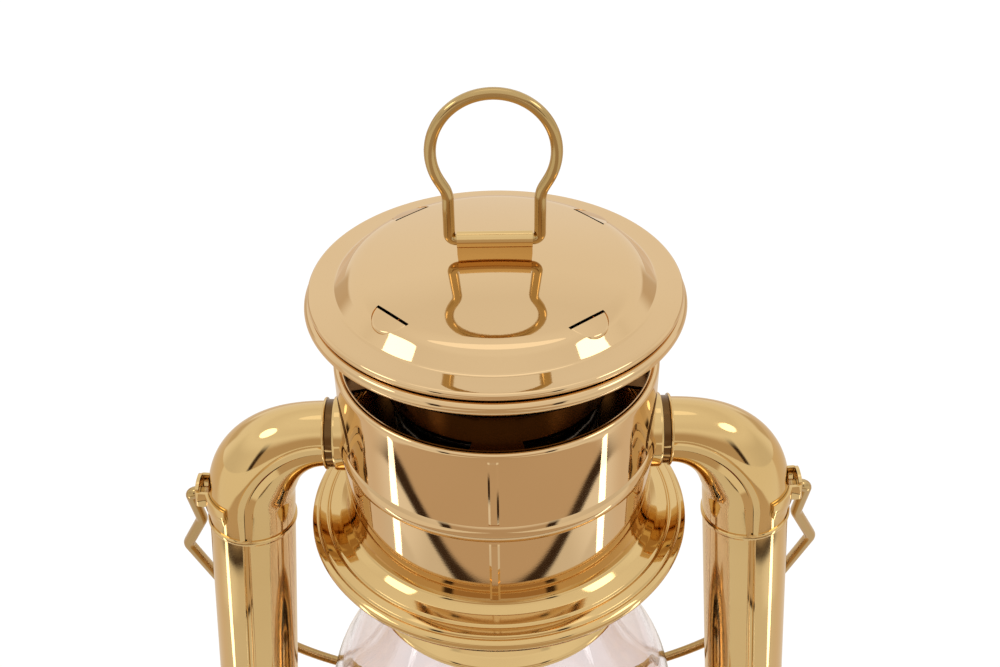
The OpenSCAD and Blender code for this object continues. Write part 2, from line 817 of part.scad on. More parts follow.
module bail_side() {
    d = bail_wire;
    p0 = [bail_end, 0];
    p1 = [bail_leg, 0];
    p2 = [bail_leg, -17];
    p3 = [kink_x, -kink_s];
    p4 = [arch_r * cos(bail_in), -arch_c + arch_r * sin(bail_in)];
    r1 = d / 2 + 0.35;
    r2 = 6;
    wire_run(p0, before(p0, p1, p2, r1), d, 0);
    wire_corner(p0, p1, p2, r1, d);
    wire_run(after(p0, p1, p2, r1), before(p1, p2, p3, r2), d);
    wire_corner(p1, p2, p3, r2, d);
    wire_run(after(p1, p2, p3, r2), before(p2, p3, p4, r2), d);
    wire_corner(p2, p3, p4, r2, d);
    wire_run(after(p2, p3, p4, r2), p4, d);
}

module bail() {
    color(brass)
        translate([0, 0, bail_z])
            rotate([bail_lean, 0, 0]) {
                bail_side();
                left() bail_side();
                wire_arc([0, -arch_c], arch_r, 180 - bail_in, 360 + bail_in, bail_wire);
            }
}

// Globe and its plate

globe_line = concat([[globe_base_r, globe_z0]],
    smooth([[globe_base_r, globe_z0 + 1.5], [globe_base_r + 0.4, globe_z0 + 5],
    [globe_r - 9.5, globe_z0 + 20], [globe_r - 2.2, globe_z0 + 41], [globe_r, globe_z0 + 62],
    [globe_r - 3.5, globe_z1 - 54], [globe_r - 9, globe_z1 - 41], [globe_mouth_r + 8, globe_z1 - 28],
    [globe_mouth_r + 2.2, globe_z1 - 12], [globe_mouth_r, globe_z1]], 5));

module globe() {
    color([0.85, 0.88, 0.88, 0.35])
        spun(globe_line, -glass_t);
}

module globe_plate() {
    t = plate_t;
    color(brass)
        difference() {
            spin([[plate_in, plate_z - 3.5], [plate_in + t, plate_z - 3.5], [plate_in + t, plate_z],
                [plate_r, plate_z], [plate_r + t, plate_z + 0.6], [plate_r + t, plate_z + 4.4],
                [plate_r + t + 0.8, plate_z + 5.2], [plate_r + 0.6, plate_z + 5.2],
                [plate_r, plate_z + 4.4], [plate_r, plate_z + t], [plate_in + t, plate_z + t],
                [plate_in + t, plate_z + 5], [plate_in, plate_z + 5]]);
            for (a = [7.5 : 15 : 352.5])
                rotate([0, 0, a])
                    translate([(plate_in + globe_base_r) / 2, 0, plate_z - 1])
                        cylinder(h = 4, r = 1.9, $fn = 24);
        }
}

// Lever

module lever_frame() {
    rotate([0, 0, lever_az]) translate([lever_R, 0, lever_z]) children();
}

module lever_bracket() {
    color(brass)
        difference() {
            lever_frame()
                difference() {
                    union() {
                        for (s = [-1, 1])
                            translate([0, s * (cheek_gap + cheek_t) / 2 - cheek_t / 2, 0]) {
                                along_y(0, cheek_t, 4.5);
                                translate([-4.5, 0, tank_wall_h - lever_z - 4])
                                    cube([9, cheek_t, lever_z - tank_wall_h + 4]);
                            }
                        translate([-6.5, -cheek_gap / 2 - 5, tank_wall_h - lever_z - 4])
                            cube([13, cheek_gap + 10, 4 + tank_top_z - tank_wall_h + 0.4]);
                    }
                    along_y(-20, 20, lever_pin_r);
                }
            tank_fill();
        }
}

module lever_pin() {
    w = cheek_gap / 2 + cheek_t;
    color(brass)
        lever_frame() {
            along_y(-w - 0.8, w + 0.8, lever_pin_r);
            along_y(-w - 1.6, -w, 2.6);
            along_y(w, w + 1.6, 2.6);
        }
}

module lever() {
    a = lever_sweep / 2;
    color(brass)
        lever_frame()
            rotate([0, -a, 0])
                difference() {
                    union() {
                        along_y(-lever_t / 2, lever_t / 2, 4);
                        along_y(-lever_t / 2, lever_t / 2, lever_tip, -lever_arm);
                        translate([-lever_arm, -lever_t / 2, -lever_tip])
                            cube([lever_arm, lever_t, 2 * lever_tip - 0.6]);
                        translate([0, -lever_t / 2, -1.8])
                            cube([lever_out - 9, lever_t, 3.6]);
                        translate([lever_out - 9, 0, -0.9]) cylinder(h = 1.8, r = 7);
                    }
                    along_y(-20, 20, lever_pin_r + run_clear);
                }
}

// Burner

module burner_collar() {
    color(brass)
        spin([[collar_r - 2.4, tank_top_z], [collar_r, tank_top_z], [collar_r, tank_top_z + 4.4],
            [collar_r - 0.6, tank_top_z + 5], [collar_r - 2.4, tank_top_z + 5]]);
}

module wick_slot(grow, z0, z1) {
    translate([-wick_tube_t / 2 - grow, -wick_tube_w / 2 - grow, z0])
        cube([wick_tube_t + 2 * grow, wick_tube_w + 2 * grow, z1 - z0]);
}

module burner_body() {
    z = tank_top_z + 5;
    r = collar_r - 2.4;
    color(brass)
        difference() {
            spin([[0, z - 7], [r - 0.6, z - 7], [r, z - 6.4], [r, z], [deck_r - 3, z], [deck_r, z + 2.4],
                [deck_r, burner_deck_z], [deck_r - 0.8, burner_deck_z], [deck_r - 0.8, z + 2.8],
                [deck_r - 3.4, z + 1], [0, z + 1]]);
            wick_slot(0, 0, big);
            for (a = [15 : 30 : 345], h = [z + 5.5, burner_deck_z - 4])
                rotate([0, 0, a]) along_x(deck_r - 4, deck_r + 4, 1.8, h);
            along_y(-big, 0, shaft_r + 0.6, star_x, shaft_z);
        }
}

module deck_hole(r) {
    translate([r, 0, burner_deck_z - 1]) cylinder(h = 3, r = 1.4, $fn = 24);
}

module burner_deck() {
    color(brass)
        difference() {
            translate([0, 0, burner_deck_z]) cylinder(h = 1, r = deck_r);
            wick_slot(0, 0, big);
            for (a = [9 : 18 : 351])
                rotate([0, 0, a]) deck_hole(deck_r - 5.4);
            for (a = [-36 : 24 : 36], s = [0, 180])
                rotate([0, 0, a + s]) deck_hole(deck_r - 12);
        }
}

cone_r = deck_r - 1.6;
cone_z0 = burner_deck_z + 3;
cone_z1 = plate_z + 15.5;
cone_line = concat([[cone_r, cone_z0 - 2]],
    [for (i = [0 : 9]) [cone_r * cos(10 * i), cone_z0 + (cone_z1 - cone_z0) * sin(10 * i)]]);

module burner_cone() {
    color(brass)
        difference() {
            spun(cone_line, -sheet_t);
            translate([-4, -wick_w / 2 - 2.4, plate_z]) cube([8, wick_w + 4.8, 40]);
        }
}

module wick_tube() {
    color(brass)
        difference() {
            wick_slot(0, tank_top_z - 6, wick_tube_top);
            wick_slot(-wick_tube_wall, 0, big);
            for (y = [-7, 7])
                along_y(y - 1.4, y + 1.4, star_r + 0.9, star_x, shaft_z);
        }
}

module wick() {
    color([0.93, 0.9, 0.82])
        translate([-wick_t / 2, -wick_w / 2, wick_foot])
            cube([wick_t, wick_w, wick_top - wick_foot]);
}

module wick_shaft() {
    color(brass) {
        along_y(knob_y, 13, shaft_r, star_x, shaft_z);
        for (y = [-7, 7])
            translate([star_x, y, shaft_z])
                rotate([90, 0, 0])
                    for (a = [0 : 60 : 300])
                        rotate([0, 0, a])
                            translate([0, 0, -0.8])
                                linear_extrude(1.6)
                                    polygon([[0, -2], [2.4, -1.2], [star_r, 0], [2.4, 1.2], [0, 2]]);
    }
}

module wick_knob() {
    color(brass)
        translate([star_x, knob_y, shaft_z])
            rotate([90, 0, 0])
                difference() {
                    spin([[0, 0], [knob_r - 2, 0], [knob_r, 0.8], [knob_r, 3.6], [knob_r - 2, 4.6],
                        [0, 5.4]]);
                    for (a = [0 : 15 : 345])
                        rotate([0, 0, a])
                            translate([knob_r + 0.55, 0, -1])
                                cylinder(h = 8, r = 1.1, $fn = 24);
                }
}

tank_shell();
tank_base();
filler_neck();
filler_cap();
filler_gasket();
air_chamber();
lower_collar_left();
lower_collar_right();
lower_elbow_left();
lower_elbow_right();
tube_left();
tube_right();
joint_ring_left();
joint_ring_right();
elbow_left();
elbow_right();
upper_collar_left();
upper_collar_right();
drum();
drum_flange();
drum_floor();
drum_deck();
hood_spring();
ear_left();
ear_right();
bail();
hood_top();
hood_band();
hood_pan();
ring_hinge();
lift_ring();
chimney();
bell();
globe();
globe_plate();
burner_collar();
burner_body();
burner_deck();
burner_cone();
wick_tube();
wick();
wick_shaft();
wick_knob();
lever_bracket();
lever_pin();
lever();
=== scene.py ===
# %% [markdown]
# # A polished brass hurricane lantern
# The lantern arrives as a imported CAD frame: every part already stands in its place, in metres.
# Polished brass is a mirror, so it shows each flat facet of a CAD mesh. The lesson therefore models the
# big turned and bent pieces again, with far more steps, on the same lines as the CAD parts.

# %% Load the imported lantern
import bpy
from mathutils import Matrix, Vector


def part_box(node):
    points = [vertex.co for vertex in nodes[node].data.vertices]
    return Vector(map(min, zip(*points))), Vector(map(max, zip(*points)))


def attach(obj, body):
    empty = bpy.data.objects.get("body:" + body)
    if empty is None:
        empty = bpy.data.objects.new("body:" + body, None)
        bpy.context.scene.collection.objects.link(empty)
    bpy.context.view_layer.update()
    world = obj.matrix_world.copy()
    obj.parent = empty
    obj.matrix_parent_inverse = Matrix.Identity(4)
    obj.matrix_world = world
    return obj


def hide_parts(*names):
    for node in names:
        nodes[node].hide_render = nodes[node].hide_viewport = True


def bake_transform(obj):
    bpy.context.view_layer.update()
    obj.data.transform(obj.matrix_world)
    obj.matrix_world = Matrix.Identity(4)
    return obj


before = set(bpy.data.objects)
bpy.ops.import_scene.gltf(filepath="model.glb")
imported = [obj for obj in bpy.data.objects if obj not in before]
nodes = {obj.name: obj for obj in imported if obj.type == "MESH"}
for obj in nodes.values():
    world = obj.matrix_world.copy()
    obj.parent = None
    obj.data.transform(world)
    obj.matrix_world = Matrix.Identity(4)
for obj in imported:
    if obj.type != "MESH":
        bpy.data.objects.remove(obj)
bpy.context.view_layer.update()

import math

import bmesh
import bpy
from mathutils import Matrix, Vector

MM = 0.001

# %% [markdown]
# ## A camera where the photograph was taken
# The camera's place and aim were worked out from the circles of the hood and drum. It looks down at 35
# degrees from close by, so the lens is a little wider than a portrait lens. The roll about its own line of
# sight comes last, because then it tips the picture and moves nothing else.

# %% Camera
camera_spot, pitch, yaw, roll = (0.00131, -0.26248, 0.49652), 35.344, 0.063, -0.75
bpy.ops.object.select_all(action="DESELECT")
bpy.ops.object.camera_add(location=camera_spot)
camera = bpy.context.object
camera.name = "studio_camera"
camera.data.lens = 43.2
camera.data.sensor_width = 36.0
camera.data.clip_start = 0.01
camera.rotation_euler = (math.radians(90 - pitch), 0.0, math.radians(yaw))
bpy.context.view_layer.update()
camera.matrix_world = camera.matrix_world @ Matrix.Rotation(math.radians(roll), 4, "Z")
bpy.context.scene.camera = camera
print("camera looks along", [round(c, 4) for c in camera.matrix_world.to_quaternion() @ Vector((0, 0, -1))])

# %% [markdown]
# ## Outlines with round corners
# A turned part is given by half of its outline, in millimetres. The corners of spun sheet are never sharp,
# so each corner may carry a radius, and an arc is put there. A curve could round its corners too, but a
# list of points is easier to hold against a drawing.

# %% Draw an outline
def rounded(corners, step=7.5):
    """Corners (x, z) or (x, z, radius) in mm, with each radius drawn as an arc."""
    line = []
    for i, corner in enumerate(corners):
        here = Vector(corner[:2])
        radius = corner[2] if len(corner) > 2 else 0
        if not radius or i in (0, len(corners) - 1):
            line.append(here)
            continue
        back = (Vector(corners[i - 1][:2]) - here).normalized()
        on = (Vector(corners[i + 1][:2]) - here).normalized()
        turn = math.pi - back.angle(on)
        centre = here + (back + on).normalized() * radius / math.cos(turn / 2)
        start = here + back * radius * math.tan(turn / 2) - centre
        way = 1 if back.x * on.y - back.y * on.x < 0 else -1
        count = max(2, math.ceil(math.degrees(turn) / step))
        for k in range(count + 1):
            a = way * turn * k / count
            line.append(centre + Vector((start.x * math.cos(a) - start.y * math.sin(a),
                                         start.x * math.sin(a) + start.y * math.cos(a))))
    return line


def arc(cx, cz, radius, a0, a1, count=16):
    angles = [math.radians(a0 + (a1 - a0) * k / count) for k in range(count + 1)]
    return [Vector((cx + radius * math.cos(a), cz + radius * math.sin(a))) for a in angles]


print("a square corner gets", len(rounded([(0, 0), (2, 0, 1), (2, 2)])) - 2, "points")

# %% [markdown]
# ## A pen of one point
# By hand, a turned part starts as a single vertex that is extruded from corner to corner along the outline.
# The helpers do the same: a small plane is merged into one vertex, which is then extruded along the points.

# %% One point, and its path
def object_mode():
    if bpy.context.mode != "OBJECT":
        bpy.ops.object.mode_set(mode="OBJECT")


def choose(piece):
    """Leaves one piece selected and active."""
    object_mode()
    bpy.ops.object.select_all(action="DESELECT")
    piece.select_set(True)
    bpy.context.view_layer.objects.active = piece


def apply_place():
    bpy.ops.object.transform_apply(location=True, rotation=True, scale=True)


def upright(u, v):
    return Vector((u * MM, 0.0, v * MM))


def one_point(name):
    """A new mesh of one vertex at the origin, in edit mode."""
    object_mode()
    bpy.ops.object.select_all(action="DESELECT")
    bpy.ops.mesh.primitive_plane_add(size=0.01)
    piece = bpy.context.object
    piece.name = piece.data.name = name
    bpy.ops.object.mode_set(mode="EDIT")
    bpy.ops.mesh.select_mode(type="VERT")
    bpy.ops.mesh.select_all(action="SELECT")
    bpy.ops.mesh.merge(type="CENTER")
    return piece


def trace(line, place=upright):
    """Extrudes the chosen vertex along a line."""
    spots = [place(p[0], p[1]) for p in line]
    bpy.ops.transform.translate(value=spots[0])
    for a, b in zip(spots, spots[1:]):
        bpy.ops.mesh.extrude_region_move(TRANSFORM_OT_translate={"value": b - a})


def extrude(x, y, z):
    """Extrudes what is selected by a distance in mm."""
    bpy.ops.mesh.extrude_region_move(TRANSFORM_OT_translate={"value": (x * MM, y * MM, z * MM)})


print("the pen's first point stands at", tuple(upright(0, 0)))

# %% [markdown]
# ## Picking by place
# With a mouse, edges and faces are clicked. In code they are found by where they lie and which way they
# look. That still holds when a size changes, and a list of numbered edges would not.

# %% Pick by place and direction
TOUCHING = 2e-6


def pick(kind, test):
    """Selects only the verts, edges or faces whose middle and normal (or edge direction) pass a test."""
    bpy.ops.mesh.select_mode(type=kind)
    bpy.ops.mesh.select_all(action="DESELECT")
    data = bpy.context.object.data
    mesh = bmesh.from_edit_mesh(data)
    found = 0
    for e in {"VERT": mesh.verts, "EDGE": mesh.edges, "FACE": mesh.faces}[kind]:
        if kind == "VERT":
            middle, normal = e.co, e.normal
        elif kind == "EDGE":
            a, b = e.verts[0].co, e.verts[1].co
            middle, normal = (a + b) / 2, (a - b).normalized()
        else:
            middle, normal = e.calc_center_median(), e.normal
        if test(middle, normal):
            e.select_set(True)
            found += 1
    mesh.select_flush_mode()
    bmesh.update_edit_mesh(data)
    return found


print("points nearer than", TOUCHING / MM, "mm count as one")


# %% [markdown]
# ## Turning on a lathe
# Spin carries the outline round an axis. The first and last copy then lie on each other, so the doubles are
# merged, and only after that are the normals turned outwards. A Screw modifier would turn it too, but Spin
# also turns by part of a circle and about any axis, which the drum, elbows and collars need.

# %% Lathe helpers
def normals_out():
    bpy.ops.mesh.select_all(action="SELECT")
    bpy.ops.mesh.normals_make_consistent(inside=False)


def weld():
    """Merges the doubles of the whole mesh and turns its normals outwards."""
    bpy.ops.mesh.select_all(action="SELECT")
    bpy.ops.mesh.remove_doubles(threshold=TOUCHING)
    normals_out()


def turn_round(steps=180, centre=(0, 0, 0), axis=(0, 0, 1)):
    bpy.ops.mesh.select_all(action="SELECT")
    bpy.ops.mesh.spin(steps=steps, angle=2 * math.pi, center=centre, axis=axis)
    weld()


def face_out(test):
    """Turns the whole skin round if its faces, by the test's score, look inwards."""
    mesh = bmesh.from_edit_mesh(bpy.context.object.data)
    score = sum(test(f.calc_center_median(), f.normal) for f in mesh.faces)
    if score < 0:
        bpy.ops.mesh.select_all(action="SELECT")
        bpy.ops.mesh.flip_normals()


def away_from_axis(middle, normal):
    return middle.x * normal.x + middle.y * normal.y


def upwards(middle, normal):
    return normal.z


print("a turn of 180 steps shows a facet every", 360 / 180, "degrees")


# %% [markdown]
# ## Wall and finish
# An outline is drawn on the outside of the sheet, and a Solidify modifier gives the wall inwards, last of
# all. On pipes with fine ribs the wall isn't kept even, because even walls throw spikes at such ribs. Each
# finished piece is smoothed up to an angle, and its box is held against the CAD parts it stands for.

# %% Wall, cut and finish
SHEET = 0.8


def thicken(piece, thickness, offset=-1.0, even=True):
    object_mode()
    wall = piece.modifiers.new("wall", "SOLIDIFY")
    wall.thickness = thickness * MM
    wall.offset = offset
    wall.use_even_offset = even
    bpy.ops.object.modifier_apply(modifier=wall.name)


def cut_away(piece, tool):
    """Cuts the tool's shape out of a piece and removes the tool."""
    choose(piece)
    cut = piece.modifiers.new("cut", "BOOLEAN")
    cut.object = tool
    cut.operation = "DIFFERENCE"
    cut.solver = "EXACT"
    bpy.ops.object.modifier_apply(modifier=cut.name)
    bpy.data.objects.remove(tool)


def finish_piece(piece, body, finish, *stands_for, slot="brass", angle=32, wall=0):
    """A wall if one is given, smooth shading, finish, and the CAD parts that the piece stands for."""
    choose(piece)
    apply_place()
    if wall:
        thicken(piece, wall, even=False)
    bpy.ops.object.shade_smooth_by_angle(angle=math.radians(angle))
    piece.data.materials.clear()
    piece.data.materials.append(finish)
    low = [min(v.co[i] for v in piece.data.vertices) for i in range(3)]
    high = [max(v.co[i] for v in piece.data.vertices) for i in range(3)]
    boxes = [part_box(n) for n in stands_for]
    off = max(max(abs(low[i] - min(b[0][i] for b in boxes)), abs(high[i] - max(b[1][i] for b in boxes)))
              for i in range(3))
    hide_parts(*stands_for)
    print(f"{piece.name}: {len(piece.data.polygons)} faces, box within {off / MM:.2f} mm of {stands_for}")
    if body:
        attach(piece, body)


print("the lantern's sheet is", SHEET, "mm thick")

# %% [markdown]
# ## Polished brass
# Lacquered brass has no colour of its own but tints what it reflects. A plain metal shader would look like
# computer chrome, and what keeps it from that is small: the sheet is never quite flat, so reflections
# wander a little, the polish leaves faint hazy patches, and the alloy's tone drifts slowly across a piece.

# %% Material helpers
def add_node(tree, kind, **values):
    """Adds a shader node and sets inputs by name, with _ for a blank."""
    node = tree.nodes.new("ShaderNode" + kind)
    for key, value in values.items():
        node.inputs[key.replace("_", " ")].default_value = value
    return node


def new_finish(name):
    """A material, its tree, its shader and the piece's own coordinates."""
    finish = bpy.data.materials.new(name)
    finish.use_nodes = True
    tree = finish.node_tree
    return finish, tree, tree.nodes["Principled BSDF"], add_node(tree, "TexCoord")


def link(tree, a, out, b, into):
    tree.links.new(a.outputs[out], b.inputs[into])


def feed(tree, socket, value):
    """Links a socket to another, or sets it to a plain colour or number."""
    if isinstance(value, bpy.types.NodeSocket):
        tree.links.new(value, socket)
    elif isinstance(value, tuple):
        socket.default_value = (*value, 1)
    else:
        socket.default_value = value


def bands(tree, source, *stops):
    """Colours that change along a value, as pairs of a place and a colour."""
    node = add_node(tree, "ValToRGB")
    while len(node.color_ramp.elements) < len(stops):
        node.color_ramp.elements.new(0.5)
    for element, (at, colour) in zip(node.color_ramp.elements, stops):
        element.position = at
        element.color = (*colour, 1)
    feed(tree, node.inputs["Fac"], source)
    return node.outputs["Color"]


print("materials before the brass:", len(bpy.data.materials))


# %% Brass finishes
def brass(name, light, deep, haze, ripple):
    """Brass of two close tones, with a polish haze (roughness) and a ripple of the sheet in mm."""
    finish, tree, shader, place = new_finish(name)
    shader.inputs["Metallic"].default_value = 1.0
    drift = add_node(tree, "TexNoise", Scale=11.0, Detail=3.0)
    patch = add_node(tree, "TexNoise", Scale=70.0, Detail=6.0, Roughness=0.65)
    sway = add_node(tree, "TexNoise", Scale=42.0, Detail=1.0)
    grain = add_node(tree, "TexNoise", Scale=2600.0, Detail=2.0)
    for noise in (drift, patch, sway, grain):
        link(tree, place, "Object", noise, "Vector")
    tone = bands(tree, drift.outputs["Fac"], (0.32, deep), (0.68, light))
    feed(tree, shader.inputs["Base Color"], tone)
    rough = add_node(tree, "MapRange", From_Min=0.3, From_Max=0.75, To_Min=haze * 0.55, To_Max=haze * 1.6)
    link(tree, patch, "Fac", rough, "Value")
    link(tree, rough, "Result", shader, "Roughness")
    wave = add_node(tree, "Bump", Strength=1.0, Distance=ripple * MM)
    scratch = add_node(tree, "Bump", Strength=0.05, Distance=0.02 * MM)
    link(tree, sway, "Fac", wave, "Height")
    link(tree, grain, "Fac", scratch, "Height")
    link(tree, wave, "Normal", scratch, "Normal")
    link(tree, scratch, "Normal", shader, "Normal")
    return finish


rose_brass = brass("rose_brass", (0.735, 0.515, 0.275), (0.69, 0.47, 0.24), 0.035, 0.05)
gold_brass = brass("gold_brass", (0.73, 0.510, 0.225), (0.67, 0.450, 0.185), 0.065, 0.05)
wire_brass = brass("wire_brass", (0.55, 0.380, 0.165), (0.47, 0.312, 0.118), 0.120, 0.02)
# Dark smoked brass: real soot on the chimney and the drum's deck and floor, and painted shade in the collars'
# grooves.
smoke_and_shade_brass = brass("smoke_and_shade_brass", (0.20, 0.105, 0.035), (0.10, 0.050, 0.018), 0.200, 0.04)
print("brass finishes:", rose_brass.name, gold_brass.name, wire_brass.name, smoke_and_shade_brass.name)

# %% [markdown]
# ## The hood's top
# The hood is spun from one disc: a low dome, a rounded ridge, a sloping skirt, a flat brim and an edge
# that is rolled under. The dome is a very shallow circle, so its radius follows from its width and rise.
# A flattened sphere would give the dome alone; one outline gives the whole hood without a joint.

# %% Spin the hood
dome_z, dome_end, ridge_r, ridge_z, groove_z = 335.8, 34.9, 37.4, 332.5, 325.6
brim_r, rim_r, dome_steps = 48.7, 46.5, 30
dome_radius = (ridge_r ** 2 + (dome_z - ridge_z) ** 2) / (2 * (dome_z - ridge_z))


def dome_at(r):
    return dome_z - dome_radius + math.sqrt(dome_radius ** 2 - r * r)


dome = [(dome_end * k / dome_steps, dome_at(dome_end * k / dome_steps)) for k in range(dome_steps)]
hood_outline = rounded(dome + [
    (dome_end, dome_at(dome_end)), (37.62, groove_z + 6.45, 6.5), (41.75, groove_z + 2.32, 1.5),
    (46.2, groove_z + 2.12), (brim_r, groove_z + 2.02, 0.98), (brim_r, groove_z, 0.98),
    (rim_r, groove_z)], step=6)
hood = one_point("hood_dome")
trace(hood_outline)
turn_round(200)
face_out(upwards)
thicken(hood, SHEET)
print("hood outline points:", len(hood_outline))

# %% [markdown]
# ## Four half-moon louvres
# Each louvre is a half-moon step pressed out of the ridge: its floor slopes by 20 degrees, its curved side
# stands over the skirt, and its straight side is sheared open, which leaves a dark slit for the hot gas.
# Pressing them in the spun mesh would ripple the dome around them. So a Boolean modifier cuts the four
# half-moons out of the hood, and four pressed steps are set in.

# %% Half discs at the ridge
louvre_r, louvre_at, louvre_tilt = 6.0, 34.0, math.radians(20)
louvre_z = dome_at(louvre_at)
louvre_turns = (41.6, 131.6, 223.6, 309.6)


def half_disc(name, radius, back=0.0):
    """A flat half disc whose straight side lies on x = 0, or a little further out."""
    bpy.ops.object.select_all(action="DESELECT")
    bpy.ops.mesh.primitive_circle_add(vertices=96, radius=radius * MM, fill_type="NGON")
    piece = bpy.context.object
    piece.name = piece.data.name = name
    bpy.ops.object.mode_set(mode="EDIT")
    bpy.ops.mesh.select_all(action="SELECT")
    bpy.ops.mesh.bisect(plane_co=(back * MM, 0, 0), plane_no=(1, 0, 0), clear_inner=True)
    return piece


def set_at_louvres(piece):
    """Tilts the piece, moves it out to the ridge and leaves four copies as one object."""
    object_mode()
    piece.rotation_euler = (0, louvre_tilt, 0)
    piece.location = (louvre_at * MM, 0, louvre_z * MM)
    apply_place()
    copies = [piece]
    for _ in louvre_turns[1:]:
        bpy.ops.object.duplicate()
        copies.append(bpy.context.object)
    for copy, turn in zip(copies, louvre_turns):
        copy.rotation_euler = (0, 0, math.radians(turn))
    for copy in copies:
        copy.select_set(True)
    bpy.context.view_layer.objects.active = piece
    bpy.ops.object.join()
    apply_place()
    return bpy.context.object


def on_curve(middle, direction):
    return abs(middle.length - louvre_r * MM) < 0.02 * MM


print("louvres at", round(louvre_z, 2), "mm of height")

# %% Cut and set the louvres
lap, slit, cut_below, cut_high = 0.3, 0.8, 8.0, 14.0
step_depth, step_round, step_sheet = 3.2, 0.9, 0.6
cutter = half_disc("louvre_cutter", louvre_r - lap)
bpy.ops.mesh.select_all(action="SELECT")
bpy.ops.transform.translate(value=(0, 0, -cut_below * MM))
extrude(0, 0, cut_high)
normals_out()
cutter = set_at_louvres(cutter)

step = half_disc("louvre_steps", louvre_r, slit)
pick("EDGE", on_curve)
extrude(0, 0, -step_depth)
pick("EDGE", lambda m, n: abs(m.z) < TOUCHING and on_curve(m, n))
bpy.ops.mesh.bevel(offset=step_round * MM, segments=6, affect="EDGES")
normals_out()
face_out(upwards)
thicken(step, step_sheet)
step = set_at_louvres(step)

cut_away(hood, cutter)
step.select_set(True)
bpy.ops.object.join()
finish_piece(hood, "hood", rose_brass, "hood_top")

# %% [markdown]
# ## The rim band and the pan under it
# Below the brim a round bead runs all the way round, with a dark groove above it. The pan closes the hood
# from below and leads the air to the chimney; only its edge shows, as a second lip in the gap. Both are
# turned as pieces of their own, so that the groove between them and the brim is a real gap.

# %% Rim band and pan
bead_r = 1.7
bead_low, bead_high = groove_z - 3.8, groove_z - 0.4
band = one_point("hood_bead")
trace([(rim_r, bead_low)] + arc(48.1, groove_z - 2.1, bead_r, -90, 90, 24)
      + [(rim_r, bead_high), (rim_r, bead_low)])
turn_round(200)
finish_piece(band, "hood", rose_brass, "hood_band")

pan = one_point("hood_lip")
trace(rounded([(rim_r, bead_high), (rim_r, groove_z - 3.2, 1.0), (44.2, groove_z - 7.6, 1.4),
               (42.6, groove_z - 9.7, 1.2), (26.4, groove_z - 7.9, 1.0), (25.02, groove_z - 7.0)]))
turn_round(180)
face_out(lambda m, n: -upwards(m, n))
thicken(pan, SHEET)
finish_piece(pan, "hood", rose_brass, "hood_pan")

# %% [markdown]
# ## The drum
# The drum is a rolled sheet with a bead round its middle, a lip rolled at the mouth and one lock seam down
# its front. A strip laid on the wall would break the mirror image at its edges. So the drum is spun in four
# goes, first the seam with its two edges and then the rest. That gives the seam its own strip of faces,
# which is raised by 0.3 mm above and below the bead.

# %% Spin the drum, seam first
drum_r, drum_z, drum_top, bead_z, roll_r = 44.0, 252.3, 305.6, 278.9, 1.3
seam_width, seam_rise, seam_fade, seam_aside = 2.7, 0.3, 0.5, 1.4
bead_reach, bead_rise = 2.7, 1.0
seam_turn = 2 * math.asin(seam_width / (2 * drum_r))
seam_start = math.radians(270 - seam_aside) - seam_turn / 2
bead_radius = (bead_reach ** 2 + bead_rise ** 2) / (2 * bead_rise)
bead_half = math.degrees(math.asin(bead_reach / bead_radius))
roll_z = drum_top - roll_r
seam_ends = ((drum_z + 2.6, bead_z - 3.3), (bead_z + 3.3, roll_z - 1.0))


def seam_steps(low, high):
    return [Vector((drum_r, z)) for z in (low, low + seam_fade, high - seam_fade, high)]


def at_seam(u, v):
    return Vector((u * MM * math.cos(seam_start), u * MM * math.sin(seam_start), v * MM))


drum_outline = ([Vector((drum_r, drum_z))] + seam_steps(*seam_ends[0])
                + arc(drum_r + bead_rise - bead_radius, bead_z, bead_radius, -bead_half, bead_half, 14)
                + seam_steps(*seam_ends[1]) + arc(drum_r - roll_r, roll_z, roll_r, 0, 180, 24)
                + [Vector((drum_r - 2 * roll_r, roll_z - 1.6))])
drum = one_point("drum_wall")
trace(drum_outline, at_seam)
bpy.ops.mesh.select_all(action="SELECT")
for share, steps in ((0.2, 1), (0.6, 3), (0.2, 1), (2 * math.pi / seam_turn - 1, 176)):
    bpy.ops.mesh.spin(steps=steps, angle=-share * seam_turn, center=(0, 0, 0), axis=(0, 0, 1))
weld()
face_out(away_from_axis)
print("drum outline points:", len(drum_outline))


# %% Raise the lock seam
def on_seam(spot, normal):
    turn = (math.atan2(spot.y, spot.x) - seam_start) % (2 * math.pi) / seam_turn
    return 0.15 < turn < 0.85 and any(low + 0.4 < spot.z / MM < high - 0.4 for low, high in seam_ends)


print("seam points raised:", pick("VERT", on_seam))
bpy.ops.transform.shrink_fatten(value=seam_rise * MM)
thicken(drum, SHEET)
finish_piece(drum, "frame", rose_brass, "drum", angle=9)

# %% [markdown]
# ## The grooved flange, the bell and the chimney
# The flange under the drum is one spun ring with two pressed grooves, and it is drawn as a closed outline,
# because its grooves are finer than its wall. The bell below it carries the globe's mouth and rides with
# the hood, and so does the chimney, a smoked tube with a seat for the spring.

# %% Flange, bell and chimney
flange = one_point("grooved_flange")
upper_side = rounded([(44.0, 255.5), (44.35, 253.6, 1.5), (46.6, 252.15, 2.0), (49.45, 251.45, 0.6),
                      (50.0, 250.75, 0.3), (50.6, 251.2, 0.5), (52.65, 250.65, 0.6), (53.1, 249.95, 0.25),
                      (53.6, 250.3, 0.45), (54.9, 249.6, 0.9), (55.1, 248.2, 1.3), (54.5, 246.9)])
under_side = rounded([(53.9, 246.9), (54.2, 248.3, 0.8), (52.6, 249.4, 1.0), (45.8, 251.3, 2.0),
                      (43.3, 253.2, 1.0), (43.2, 255.5), (44.0, 255.5)])
trace(upper_side + under_side)
turn_round(200)
finish_piece(flange, "frame", gold_brass, "drum_flange")

